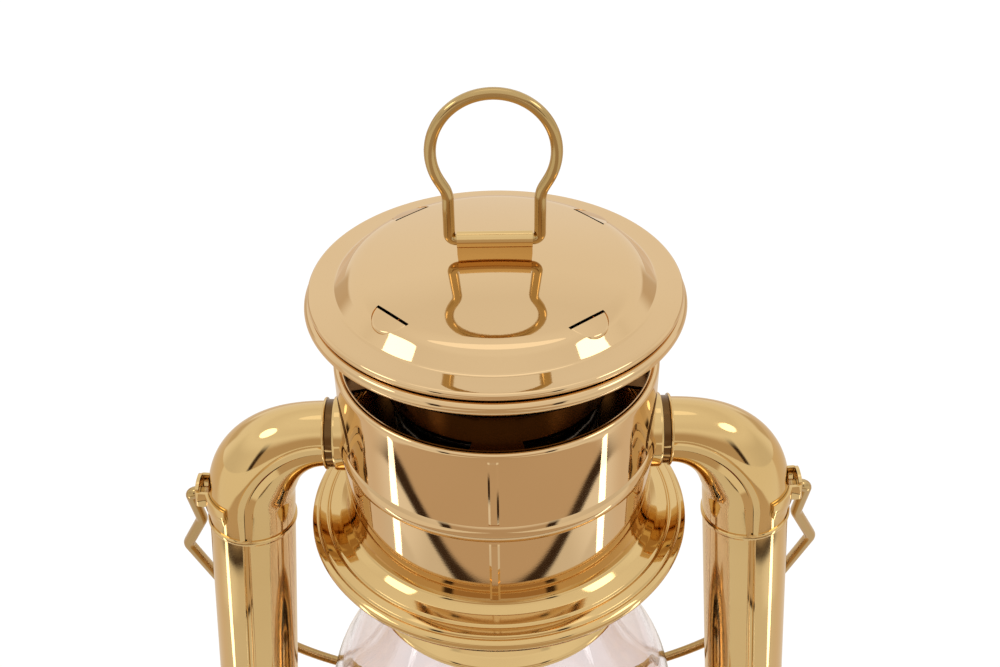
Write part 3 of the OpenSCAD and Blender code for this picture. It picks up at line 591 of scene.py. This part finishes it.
bell = one_point("globe_bell")
trace(rounded([(25.02, 237.8), (25.9, 236.9, 1.0), (37.2, 223.4, 6.0), (39.55, 221.2, 1.4), (39.45, 219.8)]))
turn_round(180)
face_out(upwards)
thicken(bell, SHEET)
finish_piece(bell, "hood", gold_brass, "bell")

flue_r, flue_low, flue_top, seat_r, seat_low, seat_top = 25.0, 235.8, 319.2, 30.4, 265.9, 266.9
flue_in = flue_r - SHEET
chimney = one_point("chimney_pipe")
trace([(flue_in, flue_low), (flue_r, flue_low), (flue_r, seat_low), (seat_r, seat_low), (seat_r, seat_top),
       (flue_r, seat_top), (flue_r, flue_top), (flue_in, flue_top), (flue_in, flue_low)])
turn_round(120)
finish_piece(chimney, "hood", smoke_and_shade_brass, "chimney")

# %% [markdown]
# ## A wire ring and a wire bail
# Both are bent from round wire. Extruding a circle along the path would pinch it at the bends. So the path
# is drawn with the pen and turned into a curve, which gets a round thickness, and then back into a mesh.
# The bail hangs behind the globe, in a plane that leans.

# %% Bend the lift ring
def wire(name, line, thick, place, closed=False):
    piece = one_point(name)
    trace(line, place)
    if closed:
        bpy.ops.mesh.select_all(action="SELECT")
        bpy.ops.mesh.remove_doubles(threshold=TOUCHING)
    object_mode()
    bpy.ops.object.convert(target="CURVE")
    curve = bpy.context.object.data
    curve.bevel_depth = thick / 2 * MM
    curve.bevel_resolution = 8
    curve.use_fill_caps = True
    bpy.ops.object.convert(target="MESH")
    return bpy.context.object


def other_half(line):
    """The mirror image of a line, run back from its end."""
    return [Vector((-p.x, p.y)) for p in reversed(line)]


def at_hinge(u, v):
    return Vector((u * MM, 0, (hinge_z + v) * MM))


hinge_z, ring_r, ring_leg, ring_h, ring_thick = 339.83, 15.4, 11.5, 24.3, 3.0
leg_bend, neck_bend, neck_run = 1.7, 7.0, 2.0
neck_x = ring_leg + neck_bend
neck_z = ring_h - math.sqrt((ring_r + neck_bend) ** 2 + neck_run ** 2 - neck_x ** 2)
neck_turn = math.degrees(math.atan2(ring_h - neck_z, neck_x) - math.atan2(neck_run, ring_r + neck_bend))
half_ring = ([Vector((0, 0))] + arc(ring_leg - leg_bend, leg_bend, leg_bend, -90, 0, 8)
             + arc(neck_x, neck_z, neck_bend, 180, 180 - neck_turn, 12)
             + arc(0, ring_h, ring_r, -neck_turn, 90, 40))
ring = wire("lift_ring_wire", half_ring + other_half(half_ring), ring_thick, at_hinge, closed=True)
finish_piece(ring, "lift_ring", wire_brass, "lift_ring", angle=60)


# %% Bend the bail
def leaning(u, v):
    return Vector((u * MM, -v * MM * math.sin(bail_lean), (bail_z + v * math.cos(bail_lean)) * MM))


bail_z, bail_lean, bail_leg, kink_x = 254.421, math.radians(19.4205), 90.954, 98.954
arch_c, arch_r, bail_in, bail_thick = 72.160, 94.758, 5.6, 3.5
bail_pin, pin_bend, kink_top, kink_low, kink_bend = 5.05, 2.1, -17, -34, 6
arch_end = (arch_r * math.cos(math.radians(bail_in)), -arch_c + arch_r * math.sin(math.radians(bail_in)))
half_bail = (rounded([(bail_leg - bail_pin, 0), (bail_leg, 0, pin_bend), (bail_leg, kink_top, kink_bend),
                      (kink_x, kink_low, kink_bend), arch_end])
             + arc(0, -arch_c, arch_r, bail_in - 3, -90, 48))
bail = wire("bail_wire", half_bail + other_half(half_bail[:-1]), bail_thick, leaning)
finish_piece(bail, "bail", wire_brass, "bail", angle=60)

# %% [markdown]
# ## Stamped elbows
# An elbow is a pair of stampings joined along the front and the back, so a flat raised seam follows its
# bend, and it widens from the drum down to the tube. A bevelled curve would bend and widen too, but it is
# hard to set where its edge lines run, and the seams need two of them. So Spin sweeps a circle round the
# bend, each ring is scaled about its own middle, and the two seam lines are bevelled into strips and raised.

# %% Helpers for bent pipes
def raise_seams(width, height):
    """Bevels the lengthwise edge lines at the front and back into strips and lifts them."""
    bpy.ops.mesh.loop_multi_select(ring=False)
    bpy.ops.mesh.bevel(offset=width / 2 * MM, segments=1, affect="EDGES")
    bpy.ops.mesh.select_mode(type="FACE")
    bpy.ops.mesh.extrude_region_shrink_fatten(TRANSFORM_OT_shrink_fatten={"value": height * MM})
    bpy.ops.mesh.region_to_loop()
    bpy.ops.mesh.bevel(offset=height * 0.8 * MM, segments=3, affect="EDGES")


def swept_circle(name, x, z, radius):
    bpy.ops.object.select_all(action="DESELECT")
    bpy.ops.mesh.primitive_circle_add(vertices=72, radius=radius * MM, rotation=(0, math.pi / 2, 0),
                                      location=(x * MM, 0, z * MM))
    piece = bpy.context.object
    piece.name = piece.data.name = name
    apply_place()
    bpy.ops.object.mode_set(mode="EDIT")
    bpy.ops.mesh.select_all(action="SELECT")
    return piece


def ease(u):
    return u * u * (3 - 2 * u)


splay = math.radians(5.65)
tube_r, elbow_r, tube_x, elbow_z = 12.6, 9.3, 70.53, 276.4
elbow_in, elbow_start, elbow_tail, elbow_bends = 42.0, 49.3, 9.9, 36
widened_at, pipe_reach = 0.8, 14.0
elbow_turn = math.pi / 2 - splay
elbow_bend = (tube_x - elbow_start) / math.tan(elbow_turn / 2)
print("elbow's bend:", round(elbow_bend, 2), "mm of radius")

# %% Sweep the elbow
elbow = swept_circle("elbow_right_stamping", elbow_in, elbow_z, elbow_r)
extrude(elbow_start - elbow_in, 0, 0)
bend_middle = Vector((elbow_start * MM, 0, (elbow_z - elbow_bend) * MM))
bpy.ops.mesh.spin(steps=elbow_bends, angle=-elbow_turn, center=bend_middle, axis=(0, 1, 0))
extrude(elbow_tail * math.sin(splay), 0, -elbow_tail * math.cos(splay))
for k in range(elbow_bends + 2):
    a = elbow_turn * min(k, elbow_bends) / elbow_bends
    centre = bend_middle + Vector((math.sin(a), 0, math.cos(a))) * elbow_bend * MM
    if k > elbow_bends:
        centre += Vector((math.sin(splay), 0, -math.cos(splay))) * elbow_tail * MM
    axis = Vector((math.cos(a), 0, -math.sin(a)))
    size = 1 + (tube_r / elbow_r - 1) * ease(min(a / (widened_at * elbow_turn), 1))
    pick("VERT", lambda p, n: abs((p - centre).dot(axis)) < TOUCHING
         and (p - centre).length < pipe_reach * MM)
    bpy.ops.transform.resize(value=(size, size, size), center_override=centre)
pick("EDGE", lambda m, n: m.x < elbow_start * MM and abs(m.z - elbow_z * MM) < TOUCHING and abs(n.x) > 0.9)
raise_seams(width=3.0, height=0.45)
normals_out()
lowest = min(v.co.z for v in bmesh.from_edit_mesh(elbow.data).verts)
print("elbow comes down to", round(lowest / MM, 1), "mm")

# %% [markdown]
# ## The other side of the lantern
# Left and right are mirror images. A Mirror modifier would keep both sides in one mesh, but each side is a
# part of its own, so a copy is made and flipped. That turns it inside out, so its normals are recalculated.

# %% Mirror the elbow
def mirrored(piece, name):
    choose(piece)
    bpy.ops.object.duplicate()
    twin = bpy.context.object
    twin.name = twin.data.name = name
    twin.scale = (-1, 1, 1)
    apply_place()
    bpy.ops.object.mode_set(mode="EDIT")
    normals_out()
    object_mode()
    return twin


elbow_twin = mirrored(elbow, "elbow_left_stamping")
finish_piece(elbow, "frame", gold_brass, "elbow_right", wall=SHEET)
finish_piece(elbow_twin, "frame", gold_brass, "elbow_left", wall=SHEET)

# %% [markdown]
# ## Side tubes
# Each side tube is one bent pipe: a short run out of the air chamber, a bend, and the long leg up to the
# elbow. Its own soldered seam is fainter than the elbow's. It is swept in the same way as the elbow, but
# keeps its width.

# %% Sweep the side tubes
duct_in, duct_z, bend_x, low_bend, joint_z = 47.0, 59.0, 58.9, 30.0212, 245.421
low_middle = Vector((bend_x * MM, 0, (duct_z + low_bend) * MM))
tube = swept_circle("side_tube_right", duct_in, duct_z, tube_r)
extrude(bend_x - duct_in, 0, 0)
bpy.ops.mesh.spin(steps=32, angle=math.pi / 2 + splay, center=low_middle, axis=(0, 1, 0))
leg_foot = low_middle + Vector((math.cos(splay), 0, math.sin(splay))) * low_bend * MM
leg = (joint_z - leg_foot.z / MM) / math.cos(splay)
for share in (0.34, 0.33, 0.33):
    extrude(-leg * share * math.sin(splay), 0, leg * share * math.cos(splay))
pick("EDGE", lambda m, n: m.x < bend_x * MM and abs(m.z - duct_z * MM) < TOUCHING and abs(n.x) > 0.9)
raise_seams(width=2.6, height=0.2)
normals_out()
tube_twin = mirrored(tube, "side_tube_left")
finish_piece(tube, "frame", gold_brass, "tube_right", "lower_elbow_right", wall=SHEET)
finish_piece(tube_twin, "frame", gold_brass, "tube_left", "lower_elbow_left", wall=SHEET)

# %% [markdown]
# ## Collars and joint rings
# Where an elbow enters the drum a collar with a dark groove holds it, a plain collar holds the tube at the
# air chamber, and a thin ring covers the joint of elbow and tube. They are turned as closed outlines too,
# but about the pipe's own axis instead of the lantern's. The groove's faces get the dark smoked brass as
# painted shade, for the shadow deep in the gap between lip and stub.

# %% Turn the drum's collars
def out_from(x, z):
    """A test for face_out: how far faces look away from a point on the pipe's axis, in mm."""
    return lambda m, n: (m - Vector((x, 0, z)) * MM).dot(n)


def paint_groove_shade(piece, test):
    """Gives the faces that pass the test the dark smoked brass as a second material, as painted shade."""
    choose(piece)
    piece.data.materials.append(smoke_and_shade_brass)
    bpy.ops.object.mode_set(mode="EDIT")
    print(piece.name, "smoked faces:", pick("FACE", test))
    piece.active_material_index = 1
    bpy.ops.object.material_slot_assign()
    object_mode()


collar = one_point("drum_collar_right")
trace([(x, elbow_z + r) for x, r in rounded([
    (42.2, 10.7), (45.4, 10.7, 0.5), (46.0, 10.4, 0.3), (46.1, 9.7, 0.15), (48.0, 9.7, 0.15),
    (48.15, 10.2, 0.2), (48.5, 10.35, 0.25), (48.85, 10.15, 0.25), (49.0, 9.3), (49.0, 9.0), (42.2, 9.0),
    (42.2, 10.7)])])
turn_round(96, (0, 0, elbow_z * MM), (1, 0, 0))
face_out(out_from(45, elbow_z))
collar_twin = mirrored(collar, "drum_collar_left")
finish_piece(collar, "frame", gold_brass, "upper_collar_right")
finish_piece(collar_twin, "frame", gold_brass, "upper_collar_left")
groove_in, groove_out, groove_r = 45.9, 48.2, 10.3
# The grooves' faces are painted dark as shade, where the gap between lip and stub lies in shadow.
for each in (collar, collar_twin):
    paint_groove_shade(each, lambda m, n: groove_in < abs(m.x) / MM < groove_out
           and math.hypot(m.y, m.z - elbow_z * MM) < groove_r * MM)

# %% Turn the lower collars and the joint rings
low_collar = one_point("duct_collar_right")
trace(rounded([(46.0, 72.6), (52.2, 72.6, 0.3), (52.6, 73.4, 0.4), (53.6, 73.4, 0.4), (54.0, 72.6, 0.3),
               (54.0, 71.2), (46.0, 71.2), (46.0, 72.6)]))
turn_round(96, (0, 0, duct_z * MM), (1, 0, 0))
face_out(out_from(50, duct_z))
low_collar_twin = mirrored(low_collar, "duct_collar_left")
finish_piece(low_collar, "frame", gold_brass, "lower_collar_right")
finish_piece(low_collar_twin, "frame", gold_brass, "lower_collar_left")


def stand_on_joint(piece):
    """Leans a piece with the tube and moves it to the joint of tube and elbow."""
    object_mode()
    piece.rotation_euler = (0, -splay, 0)
    piece.location = (joint_x * MM, 0, joint_z * MM)
    apply_place()


joint_x = 73.595
joint_ring = one_point("joint_ring_right_bead")
trace(rounded([(12.55, 1.0), (12.9, 1.0, 0.15), (13.1, 0.5, 0.3), (13.1, -0.3, 0.3), (12.9, -0.9, 0.15),
               (12.55, -0.9), (12.55, 1.0)]))
turn_round(96)
stand_on_joint(joint_ring)
joint_twin = mirrored(joint_ring, "joint_ring_left_bead")
finish_piece(joint_ring, "frame", gold_brass, "joint_ring_right")
finish_piece(joint_twin, "frame", gold_brass, "joint_ring_left")

# %% [markdown]
# ## Ears for the bail
# A strap of sheet brass goes round the outer half of each elbow's foot and is folded into a flat loop, and
# the bail's end sits in a hole in it. A block with a hole would do from afar. The strap is made as the real
# one is, because its fold shows: its path is drawn in plan, extruded upwards and given its thickness, the
# top of the loop is lifted into a round, and the hole is drilled last.

# %% Fold the ears
bail_up = (bail_z - joint_z) / math.cos(splay)
strap_low, strap_high, strap_mid = bail_up - 3.0, bail_up + 2.0, tube_r + 0.55
loop_out, loop_half, loop_rise, loop_reach = tube_r + 2.85, 4.2, 2.1, 3.7
strap_sheet, strap_edge, strap_weld, hole_r, drill_long = 1.0, 0.18, 0.012, 2.05, 4.0
hug = math.degrees(math.asin(loop_half / strap_mid))
half_strap = (arc(0, 0, strap_mid, -63, -hug, 14)
              + rounded([(strap_mid * math.cos(math.radians(hug)) + 0.3, -loop_half),
                         (loop_out, -loop_half, 0.7), (loop_out, -3.0)])
              + [Vector((loop_out, v)) for v in (-2.5, -2.0, -1.5, -1.0, -0.5, 0.0)])
strap_line = half_strap + [Vector((p.x, -p.y)) for p in reversed(half_strap[:-1])]
strap = one_point("bail_strap_right")
trace(strap_line, lambda u, v: Vector((u * MM, v * MM, strap_low * MM)))
bpy.ops.mesh.select_all(action="SELECT")
extrude(0, 0, strap_high - strap_low)
for v in sorted({round(p.y, 3) for p in strap_line if p.x > loop_out - 0.01}):
    pick("VERT", lambda p, n: p.z > (strap_high - 0.1) * MM and p.x > (loop_out - 0.02) * MM
         and abs(p.y - v * MM) < 0.01 * MM)
    bpy.ops.transform.translate(value=(0, 0, loop_rise * MM * math.sqrt(max(0, 1 - (v / loop_reach) ** 2))))
normals_out()
thicken(strap, strap_sheet, offset=0.0)
print("ear strap:", len(strap.data.polygons), "faces before its edges are softened")

# %% Soften and drill the ears
edge = strap.modifiers.new("soft_edge", "BEVEL")
edge.width = strap_edge * MM
edge.segments = 2
edge.limit_method = "ANGLE"
edge.angle_limit = math.radians(50)
bpy.ops.object.modifier_apply(modifier=edge.name)
stand_on_joint(strap)
hole_x = joint_x - bail_up * math.sin(splay) + loop_out
bpy.ops.mesh.primitive_cylinder_add(vertices=64, radius=hole_r * MM, depth=drill_long * MM,
                                    rotation=(0, math.pi / 2, 0), location=(hole_x * MM, 0, bail_z * MM))
cut_away(strap, bpy.context.object)
bpy.ops.object.mode_set(mode="EDIT")
bpy.ops.mesh.select_all(action="SELECT")
bpy.ops.mesh.remove_doubles(threshold=strap_weld * MM)
strap_twin = mirrored(strap, "bail_strap_left")
finish_piece(strap, "frame", gold_brass, "ear_right")
finish_piece(strap_twin, "frame", gold_brass, "ear_left")

# %% [markdown]
# ## Tank and air chamber
# The tank is a low spun can with a seamed base. The air chamber on top of it collects the air from the side
# tubes, and its neck guides the globe plate. All three are turned; the boss for the wick's shaft is a
# cylinder that is inset and sunk, and joined to the chamber.

# %% Turn the tank and chamber
tank_r, tank_top, foot_r, chamber_r, chamber_neck = 92.0, 43.0, 93.3, 50.0, 25.0
boss_r, boss_long, boss_x, boss_z, boss_edge, boss_sunk = 3.7, 4.0, 5.5, 66.0, 1.0, 0.6
tank = one_point("tank_can")
trace(rounded([(tank_r, 1.0), (tank_r, 37.0, 6.5), (52.0, tank_top, 4.0), (17.6, tank_top)], step=6))
turn_round(220)
face_out(upwards)
thicken(tank, SHEET)
finish_piece(tank, "frame", rose_brass, "tank_shell")

base = one_point("tank_foot")
trace(rounded([(0, 4.6), (91.2, 4.6), (91.2, 6.0), (92.8, 6.0, 0.4), (foot_r, 4.6, 0.5), (foot_r, 0.6, 0.6),
               (92.4, 0.0, 0.4), (89.0, 0.0, 0.4), (88.2, 3.6, 0.5), (0, 3.6)]))
turn_round(220)
finish_piece(base, "frame", rose_brass, "tank_base")

chamber = one_point("air_can")
trace(rounded([(chamber_r, tank_top), (chamber_r, 72.6, 2.2), (27.0, 75.0, 1.5), (chamber_neck, 77.0, 1.5),
               (chamber_neck, 94.0)], step=6))
turn_round(180)
face_out(upwards)
thicken(chamber, SHEET)
bpy.ops.object.select_all(action="DESELECT")
bpy.ops.mesh.primitive_cylinder_add(
    vertices=48, radius=boss_r * MM, depth=boss_long * MM, rotation=(math.pi / 2, 0, 0),
    location=(boss_x * MM, -chamber_r * MM, boss_z * MM))
apply_place()
bpy.ops.object.mode_set(mode="EDIT")
pick("FACE", lambda m, n: n.y < -0.9)
bpy.ops.mesh.inset(thickness=boss_edge * MM)
extrude(0, boss_sunk, 0)
object_mode()
chamber.select_set(True)
bpy.context.view_layer.objects.active = chamber
bpy.ops.object.join()
finish_piece(chamber, "frame", rose_brass, "air_chamber")

# %% [markdown]
# ## The globe
# The globe is blown glass with a belly, a drawn-in neck and an open mouth. Arcs and straights would show as
# breaks in its shine, so a smooth line through ten points gives the outside. The wall is 2.4 mm thick, so it
# bends the light twice. Its glass is faintly tinted, with a slight swirl and a thin film.

# %% Blow the globe
def smooth(points, count=8):
    line = []
    for i in range(len(points) - 1):
        a, b, c, d = (Vector(points[max(0, min(len(points) - 1, j))]) for j in (i - 1, i, i + 1, i + 2))
        for k in range(count):
            t = k / count
            line.append(0.5 * (2 * b + (c - a) * t + (2 * a - 5 * b + 4 * c - d) * t * t
                               + (3 * b - a - 3 * c + d) * t ** 3))
    return line + [Vector(points[-1])]


glass_wall = 2.4
globe = one_point("glass_globe")
trace([Vector((44.5, 83.2))] + smooth([
    (44.5, 84.7), (44.9, 88.2), (50.0, 103.2), (57.3, 124.2), (59.5, 145.2), (56.0, 171.4), (50.5, 184.4),
    (42.2, 197.4), (36.4, 213.4), (34.2, 225.4)]))
turn_round(180)
face_out(away_from_axis)
thicken(globe, glass_wall)
print("globe:", len(globe.data.polygons), "faces")

# %% Clear glass
glass, tree, shader, place = new_finish("clear_glass")
shader.inputs["Base Color"].default_value = (0.90, 0.835, 0.825, 1)
shader.inputs["Transmission Weight"].default_value = 1.0
shader.inputs["IOR"].default_value = 1.47
seed = add_node(tree, "TexNoise", Scale=55.0, Detail=1.0)
swirl = add_node(tree, "Bump", Strength=1.0, Distance=0.04 * MM)
film = add_node(tree, "MapRange", To_Min=0.0, To_Max=0.03)
link(tree, place, "Object", seed, "Vector")
link(tree, seed, "Fac", swirl, "Height")
link(tree, seed, "Fac", film, "Value")
link(tree, film, "Result", shader, "Roughness")
link(tree, swirl, "Normal", shader, "Normal")
finish_piece(globe, "carriage", glass, "globe", slot="glass")

# %% [markdown]
# ## Plain finishes
# The wick is woven cotton, the seal is cork and the spring is steel wire. Each would need many nodes of its
# own if it stood in front. They are small or hidden, so one recipe serves all: a fine noise that gives the
# tone, the roughness and the relief together.

# %% Cotton, cork and steel
def plain_finish(name, colour, spread, metallic, rough, scale, relief):
    finish, tree, shader, place = new_finish(name)
    shader.inputs["Metallic"].default_value = metallic
    speck = add_node(tree, "TexNoise", Scale=scale, Detail=4.0)
    grain = add_node(tree, "MapRange", To_Min=rough * 0.8, To_Max=min(1.0, rough * 1.2))
    bump = add_node(tree, "Bump", Strength=0.6, Distance=relief * MM)
    link(tree, place, "Object", speck, "Vector")
    tone = bands(tree, speck.outputs["Fac"], (0.3, [c * (1 - spread) for c in colour]), (0.7, colour))
    feed(tree, shader.inputs["Base Color"], tone)
    link(tree, speck, "Fac", grain, "Value")
    link(tree, grain, "Result", shader, "Roughness")
    link(tree, speck, "Fac", bump, "Height")
    link(tree, bump, "Normal", shader, "Normal")
    return finish


steel = plain_finish("spring_wire", (0.16, 0.13, 0.10), 0.3, 1.0, 0.4, 700.0, 0.01)
cotton = plain_finish("woven_cotton", (0.86, 0.82, 0.72), 0.35, 0.0, 0.9, 900.0, 0.25)
cork = plain_finish("pressed_cork", (0.50, 0.33, 0.18), 0.5, 0.0, 0.85, 420.0, 0.15)
print("plain finishes:", steel.name, cotton.name, cork.name)

# %% [markdown]
# ## Hood spring
# Inside the drum a coil spring round the chimney presses the hood down on the globe. It is wound like the
# wires, along a rising circle. Lifting the globe and lifting the ring both squeeze it, so it is wound in two
# lengths that meet at the carriage: the lower between hood and carriage, the upper between carriage and
# frame. Neither length is given to a body.

# %% Wind the spring
coil_r, coil_low, coil_top, coil_thick = 28.4, 267.7, 296.3, 1.5
coil_turns, coil_split, turn_steps = 6, 2.5, 24


def coil_height(turn):
    return coil_low + (coil_top - coil_low) * turn / coil_turns


def on_coil(turn, height):
    a = 2 * math.pi * turn
    return Vector((coil_r * math.cos(a), coil_r * math.sin(a), height)) * MM


def coil(name, first, last):
    """A length of the spring, from one turn to another."""
    count = round((last - first) * turn_steps)
    turns = [first + (last - first) * i / count for i in range(count + 1)]
    piece = wire(name, [(t, coil_height(t)) for t in turns], coil_thick, on_coil)
    finish_piece(piece, None, steel, "hood_spring", slot="spring_steel", angle=60)
    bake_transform(piece)


coil("hood_spring_lower", 0, coil_split)
coil("hood_spring_upper", coil_split, coil_turns)

# %% [markdown]
# ## Small CAD parts
# The burner, lever, knob, fittings and the ring's hinge are small or stand inside, where facets hardly
# show. So they keep their CAD shapes and get the same brass. Deck and floor of the drum are smoked.

# %% Dress the small parts
special = {"wick": cotton, "filler_gasket": cork, "drum_deck": smoke_and_shade_brass, "drum_floor": smoke_and_shade_brass}
for name, part in nodes.items():
    if part.hide_render:
        continue
    part.data.materials.clear()
    part.data.materials.append(special.get(name, gold_brass))
print("CAD parts shown:", sorted(n for n, p in nodes.items() if not p.hide_render))

# %% [markdown]
# ## A room for the brass to mirror
# Polished brass is only as good as what it reflects. A modelled room could give that, but a few fields of
# colour in the world do it with less. To the eye the world is plain white. The brass sees white above and
# behind, tan low in front with a dark edge at each side, which draws the brown lines, and a brown stretch
# of wall behind.

# %% Colour helpers
def maths(tree, operation, a, b=0.0):
    node = add_node(tree, "Math")
    node.operation = operation
    for socket, value in zip(node.inputs, (a, b)):
        feed(tree, socket, value)
    return node.outputs["Value"]


def ramp(tree, source, low, high, to_low=0.0, to_high=1.0):
    """A soft step from one number to another along a value."""
    node = add_node(tree, "MapRange", From_Min=low, From_Max=high, To_Min=to_low, To_Max=to_high)
    node.interpolation_type = "SMOOTHSTEP"
    feed(tree, node.inputs["Value"], source)
    return node.outputs["Result"]


def blend_colours(tree, share, first, second):
    """Mixes two colours; each is a socket or three plain numbers."""
    node = add_node(tree, "Mix")
    node.data_type = "RGBA"
    first_colour, second_colour, mixed_colour = node.inputs[6], node.inputs[7], node.outputs[2]
    feed(tree, node.inputs["Factor"], share)
    feed(tree, first_colour, first)
    feed(tree, second_colour, second)
    return mixed_colour


def blend_shaders(tree, share, first, second):
    node = add_node(tree, "MixShader")
    for socket, value in zip(node.inputs, (share, first, second)):
        feed(tree, socket, value)
    return node.outputs[0]


print("materials before the floor:", len(bpy.data.materials))

# %% World
WHITE, TAN, SHADE, WALL = (1, 1, 1), (0.60, 0.48, 0.37), (0.05, 0.03, 0.02), (0.70, 0.60, 0.48)
world = bpy.data.worlds.new("studio_room")
bpy.context.scene.world = world
world.use_nodes = True
tree = world.node_tree
split = add_node(tree, "SeparateXYZ")
link(tree, add_node(tree, "TexCoord"), "Generated", split, "Vector")
across, depth, height = (split.outputs[axis] for axis in "XYZ")
ray = add_node(tree, "LightPath").outputs
seen = maths(tree, "MAXIMUM", ray["Is Camera Ray"], ray["Is Transmission Ray"])
seen = maths(tree, "MAXIMUM", ray["Is Diffuse Ray"], seen)
low_room = bands(tree, maths(tree, "ABSOLUTE", across), (0.0, TAN), (0.47, TAN), (0.50, SHADE), (0.56, SHADE),
                 (0.60, (0.9, 0.88, 0.85)), (0.92, (0.8, 0.78, 0.75)))
high_room = bands(tree, height, (0.0, WHITE), (0.58, WHITE), (0.70, (0.93, 0.92, 0.91)),
                  (0.80, (0.95, 0.94, 0.93)), (0.90, WHITE))
wall = maths(tree, "MULTIPLY", ramp(tree, depth, 0.42, 0.52), ramp(tree, depth, 0.76, 0.86, 1.0, 0.0))
wall = maths(tree, "MULTIPLY", wall, ramp(tree, height, 0.14, 0.28, 1.0, 0.0))
high_room = blend_colours(tree, wall, high_room, WALL)
high_room = blend_colours(tree, seen, high_room, WHITE)
above, behind = ramp(tree, height, 0.28, 0.58), ramp(tree, depth, -0.10, 0.35)
lit = maths(tree, "MAXIMUM", maths(tree, "MAXIMUM", above, behind), seen)
feed(tree, tree.nodes["Background"].inputs["Color"], blend_colours(tree, lit, low_room, high_room))
print("world:", len(tree.nodes), "nodes")

# %% [markdown]
# ## The floor
# The drum and the tubes mirror the floor. The eye sees it nearly white, with the lantern's shadow. For the
# brass alone it glows with painted light and shade: a pale oval board with painted light strips at its two
# ends and a painted shadow line at its edge, on a brown bench, with pale ground at the sides and tan ground
# behind. Modelled boards would show in the picture, so Light Path keeps the two apart. Rays bent by the glass
# count as mirrored too, and are taken out again.

# %% Floor colours for the brass
board_wide, board_deep = 0.40, 0.285
PALE_BOARD, BENCH = (0.82, 0.80, 0.77), (0.66, 0.53, 0.41)
SIDES, REAR = (0.95, 0.93, 0.89), (0.80, 0.69, 0.57)
pale, tree, shader, place = new_finish("pale_floor")
shader.inputs["Base Color"].default_value = (0.86, 0.86, 0.86, 1)
shader.inputs["Roughness"].default_value = 0.9
split = add_node(tree, "SeparateXYZ")
link(tree, place, "Object", split, "Vector")
across, depth = split.outputs["X"], split.outputs["Y"]
aside = maths(tree, "ABSOLUTE", across)
square = maths(tree, "ADD", maths(tree, "POWER", maths(tree, "DIVIDE", across, board_wide), 2.0),
               maths(tree, "POWER", maths(tree, "DIVIDE", depth, board_deep), 2.0))
board = maths(tree, "SQRT", square)
# The dark SHADE ring round the board is a painted shadow line, which the drum mirrors as its brown lines.
front = bands(tree, maths(tree, "DIVIDE", board, 2.0), (0.0, PALE_BOARD), (0.465, PALE_BOARD), (0.472, SHADE),
              (0.492, SHADE), (0.502, BENCH), (1.0, TAN))
# Painted light: a white strip at each end of the board, which glows in the drum as a bright light line.
strip = maths(tree, "MULTIPLY", ramp(tree, board, 0.80, 0.83), ramp(tree, board, 0.925, 0.94, 1.0, 0.0))
strip = maths(tree, "MULTIPLY", strip, ramp(tree, aside, 0.22, 0.30))
mirror = blend_colours(tree, ramp(tree, aside, 0.36, 0.40), front, SIDES)
mirror = blend_colours(tree, strip, mirror, WHITE)
mirror = blend_colours(tree, ramp(tree, depth, -0.10, 0.05), mirror, REAR)
print("floor colours:", len(tree.nodes), "nodes")

# %% Lay the floor
shine = add_node(tree, "Emission", Strength=1.0)
feed(tree, shine.inputs["Color"], mirror)
glow = add_node(tree, "Emission", Strength=0.78)
soft = add_node(tree, "BsdfDiffuse", Color=(0.26, 0.26, 0.26, 1))
lit_floor = add_node(tree, "AddShader")
link(tree, soft, 0, lit_floor, 0)
link(tree, glow, 0, lit_floor, 1)
ray = add_node(tree, "LightPath").outputs
seen = maths(tree, "MAXIMUM", ray["Is Camera Ray"], ray["Is Transmission Ray"])
by_eye = blend_shaders(tree, seen, shader.outputs[0], lit_floor.outputs[0])
in_mirror = maths(tree, "SUBTRACT", ray["Is Glossy Ray"], ray["Is Transmission Ray"])
surface = blend_shaders(tree, in_mirror, by_eye, shine.outputs[0])
feed(tree, tree.nodes["Material Output"].inputs["Surface"], surface)
bpy.ops.object.select_all(action="DESELECT")
bpy.ops.mesh.primitive_plane_add(size=12, location=(0, 0, -0.0003))
floor = bpy.context.object
floor.name = "studio_floor"
floor.data.materials.append(pale)
print("floor laid:", floor.name)

# %% [markdown]
# ## Lights
# Two small oval soft boxes above put the bright spots on hood and elbows, two narrow lights near the floor
# draw the lines along tubes and drum, and a weak ceiling light fills in. Stronger lamps would wash out the
# brass, which gets most of its light from the room.

# %% Soft lights
def soft_light(name, place, aim, width, height, power):
    bpy.ops.object.light_add(type="AREA", location=place)
    lamp = bpy.context.object
    lamp.name = name
    lamp.data.shape = "ELLIPSE"
    lamp.visible_camera = False
    lamp.data.size = width
    lamp.data.size_y = height
    lamp.data.energy = power
    lamp.rotation_euler = (Vector(aim) - Vector(place)).to_track_quat("-Z", "Y").to_euler()


for side, x in (("left", -1), ("right", 1)):
    soft_light(f"soft_box_{side}", (x * 0.36, -0.10, 0.62), (0, -0.02, 0.32), 0.17, 0.12, 0.115)
for side, x in (("left", -1), ("right", 1)):
    soft_light(f"low_light_{side}", (x * 0.257, -0.070, 0.06), (x * 0.026, -0.034, 0.28), 0.028, 0.10, 0.02)
soft_light("ceiling", (0.0, 0.15, 1.5), (0, 0, 0.2), 1.0, 0.4, 0.35)

# %% [markdown]
# ## View
# The Standard view shows colours as they are written.

# %% View
bpy.context.scene.view_settings.view_transform = "Standard"
